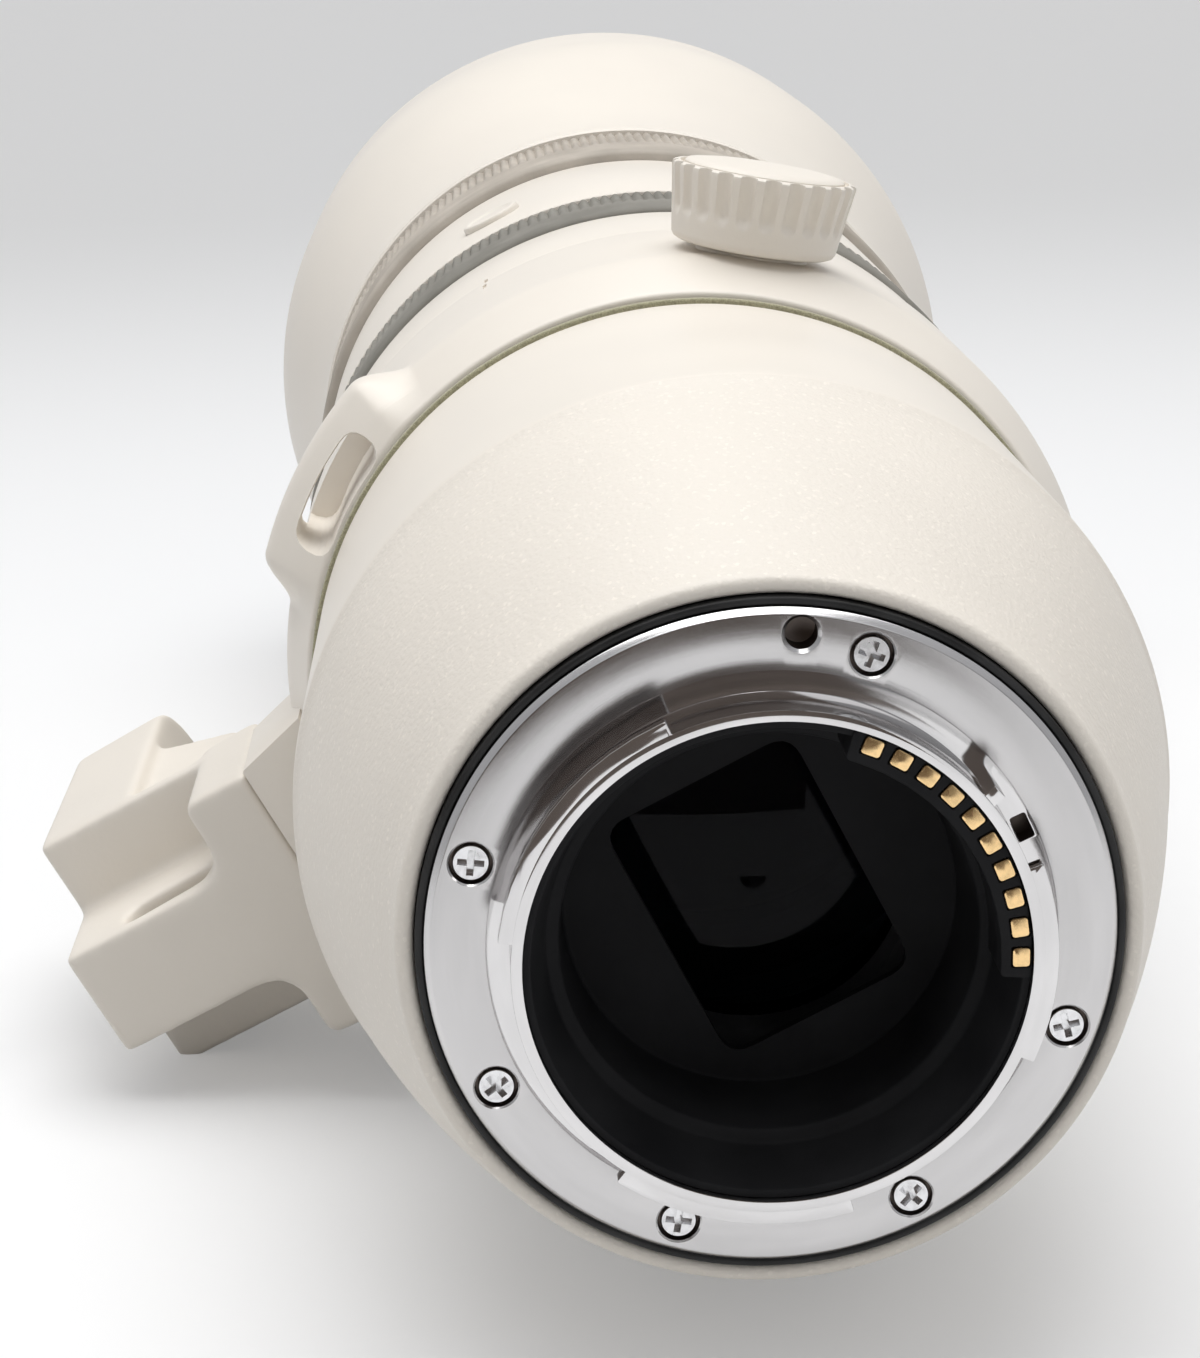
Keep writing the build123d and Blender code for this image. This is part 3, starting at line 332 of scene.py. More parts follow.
def freeze(item: bpy.types.Object, sharp: float | None = None) -> bpy.types.Object:
    """Turn an object's modifiers into plain mesh and remove them.

    Args:
        item: The object with its modifiers.
        sharp: If given, edges that bend more than this many degrees become sharp.

    Returns:
        The same object.
    """
    graph = bpy.context.evaluated_depsgraph_get()
    mesh = bpy.data.meshes.new_from_object(item.evaluated_get(graph), depsgraph=graph)
    item.modifiers.clear()
    item.data = mesh
    if sharp is not None:
        smooth(mesh, sharp)
    return item


def join(name: str, items: Sequence[bpy.types.Object]) -> bpy.types.Object:
    """Put several closed shells into one object and drop the others.

    Args:
        name: The new object's name.
        items: The shells.

    Returns:
        The joined object.
    """
    work = bmesh.new()
    for item in items:
        work.from_mesh(item.data)
        bpy.data.objects.remove(item)
    return new_object(name, work)


def point_outwards(item: bpy.types.Object, angle: float, axial: float) -> bpy.types.Object:
    """Point a turned shape's axis outwards at a place on the lens."""
    item.data.transform(facing(angle, axial) @ Matrix.Rotation(-math.pi / 2, 4, "Z"))
    return item


def lean(item: bpy.types.Object, wall: float, rake: float, low: float,
         high: float) -> bpy.types.Object:
    """Lean the wall that stands across the lens at an axial place forwards.

    Args:
        item: The object, built facing +X.
        wall: Axial place of the wall, in millimetres.
        rake: How far forwards the wall leans at the higher level.
        low: Local X at which the wall stays where it is.
        high: Local X of the full lean.

    Returns:
        The same object.
    """
    for vertex in item.data.vertices:
        if abs(vertex.co.y / MM - wall) < 0.01:
            vertex.co.y += rake * (vertex.co.x / MM - low) / (high - low) * MM
    return item


class Cut(Enum):
    """What a boolean does with its tool."""

    REMOVE = "DIFFERENCE"
    ADD = "UNION"


def combine(item: bpy.types.Object, tools: Iterable[bpy.types.Object], way: Cut,
            sharp: float = SHARP) -> bpy.types.Object:
    """Add solids to an object or take them out of it, one after the other.

    Args:
        item: The object that changes.
        tools: The solids; they are dropped afterwards.
        way: What is done with them.
        sharp: Edges that bend more than this many degrees become sharp.

    Returns:
        The changed object.
    """
    for tool in tools:
        modifier = item.modifiers.new("solid", "BOOLEAN")
        modifier.operation = way.value
        modifier.solver = "EXACT"
        modifier.object = tool
        freeze(item, sharp)
        bpy.data.objects.remove(tool)
    return item


def soften(item: bpy.types.Object, width: float, steps: int = 2,
           above: float = SHARP) -> bpy.types.Object:
    """Bevel an object's sharp edges.

    Args:
        item: The object.
        width: Width of the bevel, in millimetres.
        steps: Number of faces across the bevel.
        above: Only edges that bend more than this many degrees are bevelled.

    Returns:
        The same object.
    """
    modifier = item.modifiers.new("edge", "BEVEL")
    modifier.width = width * MM
    modifier.segments = steps
    modifier.limit_method = "ANGLE"
    modifier.angle_limit = math.radians(above)
    modifier.use_clamp_overlap = True
    modifier.harden_normals = False
    return freeze(item, 40.0)


# Finishes
def feed(tree: bpy.types.NodeTree, socket: bpy.types.NodeSocket, value: object) -> None:
    """Link an output to a socket, or set the socket's own value.

    Args:
        tree: The node tree that both are in.
        socket: The input socket.
        value: An output socket to link, or a plain value.
    """
    if isinstance(value, bpy.types.NodeSocket):
        tree.links.new(value, socket)
    else:
        socket.default_value = value


class Nodes:
    """Node tree that is built node by node, with arithmetic on its sockets."""

    def __init__(self, tree: bpy.types.NodeTree) -> None:
        """Keep the tree."""
        self.tree = tree

    def math(self, operation: str, *values: object) -> bpy.types.NodeSocket:
        """Add a Math node.

        Args:
            operation: What the node does.
            *values: Values, or output sockets to link, for its inputs.

        Returns:
            The node's output.
        """
        node = self.tree.nodes.new("ShaderNodeMath")
        node.operation = operation
        for socket, value in zip(node.inputs, values):
            feed(self.tree, socket, value)
        return node.outputs[0]

    def times(self, first: object, second: object) -> bpy.types.NodeSocket:
        """Product of two values."""
        return self.math("MULTIPLY", first, second)

    def off_axis(self, parts: Sequence[bpy.types.NodeSocket]) -> bpy.types.NodeSocket:
        """Distance of a place, given by its three parts, from the lens's axis."""
        return self.math("SQRT", self.math("ADD", self.times(parts[0], parts[0]),
                                           self.times(parts[2], parts[2])))


class Graph(Nodes):
    """Node tree of one material, with its Principled shader."""

    def __init__(self, name: str, color: Color, roughness: float, metallic: float = 0.0) -> None:
        """Make the material and set what is the same all over its surface.

        Args:
            name: The material's name.
            color: Its base colour.
            roughness: Its roughness, from 0 to 1.
            metallic: 1 for bare metal and 0 for anything else.
        """
        self.material = bpy.data.materials.new(name)
        self.material.use_nodes = True
        super().__init__(self.material.node_tree)
        self.shader = self.tree.nodes["Principled BSDF"]
        self.set("Base Color", (*color, 1.0))
        self.set("Roughness", roughness)
        self.set("Metallic", metallic)

    def set(self, socket: str, value: object) -> None:
        """Set one of the shader's sockets, or drive it with an output."""
        feed(self.tree, self.shader.inputs[socket], value)

    def add(self, kind: str, **inputs: object) -> bpy.types.Node:
        """Add a node; keyword names are sockets with spaces written as underscores.

        Args:
            kind: The node's class without its ShaderNode prefix.
            **inputs: Values, or output sockets to link.

        Returns:
            The new node.
        """
        node = self.tree.nodes.new("ShaderNode" + kind)
        for name, value in inputs.items():
            feed(self.tree, node.inputs[name.replace("_", " ")], value)
        return node

    def place(self) -> bpy.types.NodeSocket:
        """Object coordinates, in metres."""
        return self.add("TexCoord").outputs["Object"]

    def turned_place(self, around: float, outwards: float, along: float) -> bpy.types.NodeSocket:
        """Coordinates for a pattern that follows the lens round its axis.

        Args:
            around: Scale of the pattern round the lens.
            outwards: Scale of the pattern along its radius, per metre.
            along: Scale of the pattern along the lens, per metre.

        Returns:
            A vector output without a seam.
        """
        parts = self.add("SeparateXYZ", Vector=self.place()).outputs
        radius = self.off_axis(parts)
        safe = self.math("MAXIMUM", radius, 1e-5)
        side, up = [self.times(self.math("DIVIDE", parts[index], safe), around)
                    for index in (0, 2)]
        level = self.math("ADD", self.times(parts[1], along), self.times(radius, outwards))
        return self.add("CombineXYZ", X=side, Y=level, Z=up).outputs[0]

    def ramp(self, value: bpy.types.NodeSocket, low: float, high: float, start: float,
             end: float) -> bpy.types.NodeSocket:
        """Map a value's range onto another, clamped."""
        return self.add("MapRange", Value=value, From_Min=low, From_Max=high, To_Min=start,
                        To_Max=end).outputs[0]

    def tint(self, share: bpy.types.NodeSocket, first: Color, second: Color) -> None:
        """Drive the base colour between two colours.

        Args:
            share: Output that is 0 for the first colour and 1 for the second.
            first: The first colour.
            second: The second colour.
        """
        mix = self.add("Mix")
        mix.data_type = "RGBA"
        for socket, value in ((0, share), (6, (*first, 1.0)), (7, (*second, 1.0))):
            feed(self.tree, mix.inputs[socket], value)
        self.set("Base Color", mix.outputs[2])

    def bump(self, height: bpy.types.NodeSocket, strength: float, depth: float) -> None:
        """Drive the normal with a height of a given depth in metres."""
        self.set("Normal", self.add("Bump", Strength=strength, Distance=depth,
                                    Height=height).outputs[0])


def shade(color: Color, factor: float) -> Color:
    """The colour made lighter or darker."""
    return tuple(min(1.0, part * factor) for part in color)


@dataclass(frozen=True)
class Paint:
    """Baked paint with a fine grain, and with metal flakes where it is the sparkling kind."""

    name: str
    color: Color
    roughness: float
    grain: float = 0.00002
    grain_scale: float = 1500.0
    flakes: float = 0.0

    def build(self) -> bpy.types.Material:
        """Make the material.

        Returns:
            The material.
        """
        graph = Graph(self.name, self.color, self.roughness)
        place = graph.place()
        grain = graph.add("TexNoise", Vector=place, Scale=self.grain_scale, Detail=3.0)
        cloud = graph.add("TexNoise", Vector=place, Scale=45.0, Detail=4.0)
        share = graph.ramp(cloud.outputs[0], 0.3, 0.7, 0.0, 1.0)
        if self.flakes > 0:
            cells = graph.add("TexVoronoi", Vector=place, Scale=3000.0)
            spark = graph.ramp(graph.math("FRACT", graph.times(cells.outputs["Color"], 7.0)),
                               1 - self.flakes, 1.0, 0.0, 1.0)
            share = graph.math("MAXIMUM", graph.times(share, 0.35), spark)
        spread = 0.05 if self.flakes > 0 else 0.015
        graph.tint(share, shade(self.color, 1 - spread), shade(self.color, 1 + spread))
        graph.set("Roughness", graph.ramp(cloud.outputs[0], 0.3, 0.7, self.roughness - 0.03,
                                          self.roughness + 0.04))
        graph.set("Specular IOR Level", 0.45)
        graph.bump(grain.outputs[0], 0.8, self.grain)
        return graph.material


class Turning(Enum):
    """Direction of the tool marks on turned metal."""

    FACED = "faced"
    TURNED = "turned"


@dataclass(frozen=True)
class Metal:
    """Turned metal with fine tool marks round the lens."""

    name: str
    color: Color
    roughness: float
    marks: Turning = Turning.FACED
    depth: float = 0.000004
    anisotropy: float = 0.0

    def build(self) -> bpy.types.Material:
        """Make the material.

        Returns:
            The material.
        """
        graph = Graph(self.name, self.color, self.roughness, metallic=1.0)
        outwards, along = (90000.0, 0.0) if self.marks is Turning.FACED else (0.0, 30000.0)
        lines = graph.add("TexNoise", Vector=graph.turned_place(1.5, outwards, along), Scale=1.0,
                          Detail=4.0)
        smear = graph.add("TexNoise", Vector=graph.turned_place(2.0, 400.0, 200.0), Scale=1.0,
                          Detail=3.0)
        graph.tint(graph.ramp(smear.outputs[0], 0.35, 0.7, 0.0, 1.0), shade(self.color, 0.93),
                   shade(self.color, 1.05))
        graph.set("Roughness", graph.math(
            "ADD", graph.ramp(smear.outputs[0], 0.3, 0.7, self.roughness * 0.8,
                              self.roughness * 1.15),
            graph.ramp(lines.outputs[0], 0.3, 0.7, -0.02, 0.05)))
        graph.set("Anisotropic", self.anisotropy)
        tangent = graph.add("Tangent")
        tangent.direction_type = "RADIAL"
        tangent.axis = "Y"
        graph.set("Tangent", tangent.outputs[0])
        graph.bump(lines.outputs[0], 0.5, self.depth)
        return graph.material


@dataclass(frozen=True)
class Plated:
    """Smooth plated metal, such as gold contacts, with faint wear."""

    name: str
    color: Color
    roughness: float

    def build(self) -> bpy.types.Material:
        """Make the material.

        Returns:
            The material.
        """
        graph = Graph(self.name, self.color, self.roughness, metallic=1.0)
        wear = graph.add("TexNoise", Vector=graph.place(), Scale=1400.0, Detail=5.0)
        graph.set("Roughness", graph.ramp(wear.outputs[0], 0.35, 0.7, self.roughness * 0.7,
                                          self.roughness * 1.6))
        graph.tint(graph.ramp(wear.outputs[0], 0.4, 0.75, 0.0, 1.0), self.color,
                   shade(self.color, 0.82))
        graph.bump(wear.outputs[0], 0.3, 0.000004)
        return graph.material


@dataclass(frozen=True)
class Moulded:
    """Moulded plastic or rubber with a spark-eroded grain and a little dust."""

    name: str
    color: Color
    roughness: float
    grain: float = 0.00002
    grain_scale: float = 2500.0
    dust: float = 0.0
    gloss: float = 0.4

    def build(self) -> bpy.types.Material:
        """Make the material.

        Returns:
            The material.
        """
        graph = Graph(self.name, self.color, self.roughness)
        place = graph.place()
        grain = graph.add("TexNoise", Vector=place, Scale=self.grain_scale, Detail=4.0)
        cloud = graph.add("TexNoise", Vector=place, Scale=120.0, Detail=5.0)
        share = graph.ramp(cloud.outputs[0], 0.35, 0.75, 0.0, 1.0)
        if self.dust > 0:
            specks = graph.add("TexVoronoi", Vector=place, Scale=900.0)
            speck = graph.ramp(specks.outputs["Distance"], 0.05, 0.09, self.dust, 0.0)
            chosen = graph.ramp(graph.math("FRACT", graph.times(specks.outputs["Color"], 9.0)),
                                0.93, 0.95, 0.0, 1.0)
            share = graph.math("MAXIMUM", graph.times(share, 0.3), graph.times(speck, chosen))
        light = tuple(part + 0.03 + part * 0.25 for part in self.color)
        graph.tint(share, self.color, light)
        graph.set("Roughness", graph.ramp(cloud.outputs[0], 0.3, 0.7, self.roughness - 0.05,
                                          self.roughness + 0.06))
        graph.set("Specular IOR Level", self.gloss)
        graph.bump(grain.outputs[0], 0.7, self.grain)
        return graph.material


@dataclass(frozen=True)
class Felt:
    """Pressed felt with short fibres."""

    name: str
    color: Color

    def build(self) -> bpy.types.Material:
        """Make the material.

        Returns:
            The material.
        """
        graph = Graph(self.name, self.color, 0.95)
        place = graph.place()
        fibre = graph.add("TexNoise", Vector=place, Scale=3200.0, Detail=6.0, Distortion=1.5)
        graph.tint(graph.ramp(fibre.outputs[0], 0.35, 0.7, 0.0, 1.0), shade(self.color, 0.7),
                   shade(self.color, 1.25))
        graph.set("Sheen Weight", 0.4)
        graph.set("Specular IOR Level", 0.15)
        graph.bump(fibre.outputs[0], 0.9, 0.00008)
        return graph.material


@dataclass(frozen=True)
class Glass:
    """Lens glass; inside the lens a low index stands for the coating that stops reflections."""

    name: str
    film: float
    film_index: float
    color: Color = (0.96, 0.98, 1.0)
    index: float = 1.52

    def build(self) -> bpy.types.Material:
        """Make the material.

        Returns:
            The material.
        """
        graph = Graph(self.name, self.color, 0.015)
        graph.set("Transmission Weight", 1.0)
        graph.set("IOR", self.index)
        graph.set("Thin Film Thickness", self.film)
        graph.set("Thin Film IOR", self.film_index)
        haze = graph.add("TexNoise", Vector=graph.place(), Scale=300.0, Detail=4.0)
        graph.set("Roughness", graph.ramp(haze.outputs[0], 0.4, 0.8, 0.01, 0.03))
        return graph.material


@dataclass(frozen=True)
class Board:
    """Green solder mask with faint copper tracks under it."""

    name: str
    color: Color

    def build(self) -> bpy.types.Material:
        """Make the material.

        Returns:
            The material.
        """
        graph = Graph(self.name, self.color, 0.35)
        tracks = graph.add("TexVoronoi", Vector=graph.place(), Scale=700.0)
        tracks.feature = "DISTANCE_TO_EDGE"
        line = graph.ramp(tracks.outputs[0], 0.02, 0.06, 1.0, 0.0)
        graph.tint(line, self.color, shade(self.color, 1.8))
        graph.bump(line, 0.4, 0.00003)
        return graph.material


class Finishes:
    """All the finishes of the lens, made once."""

    def __init__(self) -> None:
        """Build every material."""
        cream = (0.80, 0.745, 0.665)
        self.cream_sparkle = Paint("cream_sparkle", cream, 0.47, grain=0.00012,
                                   grain_scale=1900.0, flakes=0.12).build()
        self.cream_smooth = Paint("cream_smooth", cream, 0.38, grain=0.000012).build()
        self.cream_cast = Paint("cream_cast", shade(cream, 0.97), 0.45, grain=0.00003,
                                grain_scale=1200.0).build()
        self.flange_steel = Metal("flange_steel", (0.62, 0.61, 0.61), 0.19,
                                  anisotropy=0.6).build()
        # Dark steel for the walls of the holes in the flange: painted shade in the holes.
        self.bored_steel = Metal("bored_steel", (0.16, 0.135, 0.12), 0.4).build()
        self.spigot_steel = Metal("spigot_steel", (0.72, 0.71, 0.71), 0.07,
                                  marks=Turning.TURNED).build()
        self.screw_steel = Plated("screw_steel", (0.80, 0.80, 0.81), 0.18).build()
        self.machined = Metal("machined_metal", (0.62, 0.62, 0.63), 0.35,
                              marks=Turning.TURNED).build()
        self.black_metal = Moulded("black_anodised", (0.012, 0.012, 0.013), 0.5,
                                   grain=0.00001, gloss=0.5).build()
        self.black_plastic = Moulded("black_plastic", (0.010, 0.010, 0.011), 0.62,
                                     grain=0.00003, dust=0.25, gloss=0.3).build()
        self.throat_black = Moulded("throat_black", (0.006, 0.006, 0.007), 0.7,
                                    grain=0.00002, dust=0.35, gloss=0.2).build()
        self.grey_plastic = Moulded("grey_plastic", (0.16, 0.16, 0.165), 0.45).build()
        # The focus grip's rubber is a darker copy of the zoom grip's rubber: its colour holds
        # painted shade.
        self.focus_rubber = Moulded("focus_rubber", (0.21, 0.20, 0.175), 0.75, grain=0.00005,
                                    grain_scale=1800.0, gloss=0.25).build()
        self.zoom_rubber = Moulded("zoom_rubber", (0.40, 0.36, 0.31), 0.75, grain=0.00005,
                                   grain_scale=1800.0, gloss=0.25).build()
        self.seal_rubber = Moulded("seal_rubber", (0.006, 0.006, 0.006), 0.55,
                                   gloss=0.35).build()
        self.gold = Plated("gold_plate", (0.95, 0.67, 0.34), 0.2).build()
        self.felt = Felt("olive_felt", (0.40, 0.375, 0.25)).build()
        self.front_glass = Glass("front_glass", 118.0, 1.3).build()
        # The inner glass is tinted nearly black: painted shade of the lens's dark inside, not a
        # colour of the glass.
        self.inner_glass = Glass("inner_glass", 0.0, 1.24, (0.07, 0.08, 0.12), 1.16).build()
        self.board = Board("circuit_board", (0.01, 0.09, 0.04)).build()


def dress(item: bpy.types.Object, *materials: bpy.types.Material) -> None:
    """Give an object its materials.

    Args:
        item: The object.
        *materials: Its material slots in order; the first one covers it all over.
    """
    item.data.materials.clear()
    for material in materials:
        item.data.materials.append(material)


def stand_for(item: bpy.types.Object, body: Body, *nodes: str,
              finish: bpy.types.Material | None = None) -> None:
    """Let a piece ride on a body in the place of its CAD nodes.

    Args:
        item: The finished piece.
        body: The body that carries it.
        *nodes: The CAD nodes that it stands for.
        finish: What it is dressed in, unless it has its finish already.
    """
    if finish is not None:
        dress(item, finish)
    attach(item, body.value)
    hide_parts(*nodes)
    LOG.info("%s stands for %s: %d faces", item.name, ", ".join(nodes), len(item.data.polygons))


# Geometry Nodes
class Tree(Nodes):
    """Geometry Nodes tree with named inputs."""

    def __init__(self, name: str, inputs: dict[str, str]) -> None:
        """Make the tree.

        Args:
            name: The tree's name.
            inputs: Socket type of each named input.
        """
        super().__init__(bpy.data.node_groups.new(name, "GeometryNodeTree"))
        interface = self.tree.interface
        interface.new_socket("Geometry", in_out="INPUT", socket_type="NodeSocketGeometry")
        interface.new_socket("Geometry", in_out="OUTPUT", socket_type="NodeSocketGeometry")
        for label, kind in inputs.items():
            interface.new_socket(label, in_out="INPUT", socket_type=kind)
        self.entry = self.tree.nodes.new("NodeGroupInput")
        self.exit = self.tree.nodes.new("NodeGroupOutput")

    def add(self, kind: str, links: dict[int | str, object] | None = None,
            **settings: object) -> bpy.types.Node:
        """Add a node.

        Args:
            kind: The node's class name.
            links: Value or output socket for each of its input sockets.
            **settings: The node's own settings.

        Returns:
            The new node.
        """
        node = self.tree.nodes.new(kind)
        for name, value in settings.items():
            setattr(node, name, value)
        for socket, value in (links or {}).items():
            feed(self.tree, node.inputs[socket], value)
        return node

    def given(self, label: str) -> bpy.types.NodeSocket:
        """One of the tree's named inputs."""
        return self.entry.outputs[label]

    def end(self, geometry: bpy.types.NodeSocket) -> None:
        """Realize what the tree makes, give it its material and put it out.

        Args:
            geometry: What the tree has made.
        """
        real = self.add("GeometryNodeRealizeInstances", {0: geometry})
        final = self.add("GeometryNodeSetMaterial", {"Geometry": real.outputs[0],
                                                     "Material": self.given("Material")})
        self.tree.links.new(final.outputs[0], self.exit.inputs[0])

    def run(self, item: bpy.types.Object, values: dict[str, object],
            sharp: float = SHARP) -> bpy.types.Object:
        """Run the tree on an object and keep the result as plain mesh.

        Args:
            item: The object that the tree starts from.
            values: Value of each named input.
            sharp: Edges that bend more than this many degrees become sharp.

        Returns:
            The same object.
        """
        modifier = item.modifiers.new(self.tree.name, "NODES")
        modifier.node_group = self.tree
        for socket in self.tree.interface.items_tree:
            if socket.item_type == "SOCKET" and socket.name in values:
                modifier[socket.identifier] = values[socket.name]
        return freeze(item, sharp)


class RibTree(Tree):
    """Presses ribs into the outside of a turned sleeve."""

    def __init__(self) -> None:
        """Build the tree: each point is moved inwards by a wave round the lens."""
        super().__init__("ribs_round_the_lens", {
            "Ribs": "NodeSocketFloat", "Depth": "NodeSocketFloat", "Inside": "NodeSocketFloat",
            "Flat": "NodeSocketFloat", "Start": "NodeSocketFloat", "Fade": "NodeSocketFloat",
            "Material": "NodeSocketMaterial"})
        place = self.add("GeometryNodeInputPosition").outputs[0]
        parts = self.add("ShaderNodeSeparateXYZ", {0: place}).outputs
        turn = self.math("ARCTAN2", parts[2], parts[0])
        radius = self.off_axis(parts)
        phase = self.times(self.math("ADD", self.math("DIVIDE", turn, math.tau), 1.0),
                           self.given("Ribs"))
        wave = self.times(self.math("PINGPONG", phase, 0.5), 2.0)
        crest = self.math("SUBTRACT", wave, self.given("Flat"))
        grown = self.math("MINIMUM", self.math("MAXIMUM", self.math(
            "DIVIDE", self.math("SUBTRACT", parts[1], self.given("Start")),
            self.given("Fade")), 0.0), 1.0)
        push = self.times(self.times(self.math("MAXIMUM", crest, 0.0), self.given("Depth")),
                          grown)
        outer = self.math("GREATER_THAN", radius, self.given("Inside"))
        scale = self.math("SUBTRACT", 1.0, self.math("DIVIDE", self.times(push, outer), radius))
        moved = self.add("ShaderNodeCombineXYZ", {0: self.times(parts[0], scale), 1: parts[1],
                                                  2: self.times(parts[2], scale)})
        ribbed = self.add("GeometryNodeSetPosition", {
            "Geometry": self.given("Geometry"), "Position": moved.outputs[0]})
        self.end(ribbed.outputs[0])


class RingArray(Tree):
    """Repeats a small part round the lens."""

    def __init__(self) -> None:
        """Build the tree: the part is instanced on points at equal steps about +Y."""
        super().__init__("parts_round_the_lens", {
            "Count": "NodeSocketInt", "First": "NodeSocketFloat", "Step": "NodeSocketFloat",
            "Material": "NodeSocketMaterial"})
        points = self.add("GeometryNodeMeshLine", {"Count": self.given("Count")})
        for socket in ("Start Location", "Offset"):
            points.inputs[socket].default_value = (0.0, 0.0, 0.0)
        index = self.add("GeometryNodeInputIndex").outputs[0]
        angle = self.math("ADD", self.given("First"), self.times(index, self.given("Step")))
        turn = self.add("ShaderNodeCombineXYZ", {1: self.times(angle, -1.0)})
        copies = self.add("GeometryNodeInstanceOnPoints", {
            "Points": points.outputs[0], "Instance": self.given("Geometry"),
            "Rotation": turn.outputs[0]})
        self.end(copies.outputs[0])


class PointArray(Tree):
    """Puts a small part on each point of a given set, turned by the point's own angle."""

    def __init__(self) -> None:
        """Build the tree: it reads the part from an object and the turn from an attribute."""
        super().__init__("parts_on_points", {
            "Part": "NodeSocketObject", "Material": "NodeSocketMaterial"})
        part = self.add("GeometryNodeObjectInfo", {"Object": self.given("Part")})
        angle = self.add("GeometryNodeInputNamedAttribute", {"Name": "turn"}, data_type="FLOAT")
        turn = self.add("ShaderNodeCombineXYZ", {1: angle.outputs[0]})
        points = self.add("GeometryNodeMeshToPoints", {"Mesh": self.given("Geometry")})
        copies = self.add("GeometryNodeInstanceOnPoints", {
            "Points": points.outputs[0], "Instance": part.outputs["Geometry"],
            "Rotation": turn.outputs[0]})
        self.end(copies.outputs[0])


@dataclass
class Trees:
    """The Geometry Nodes trees, made once."""

    ribs: RibTree
    ring: RingArray
    points: PointArray

    @classmethod
    def make(cls) -> "Trees":
        """Build the three trees."""
        return cls(RibTree(), RingArray(), PointArray())


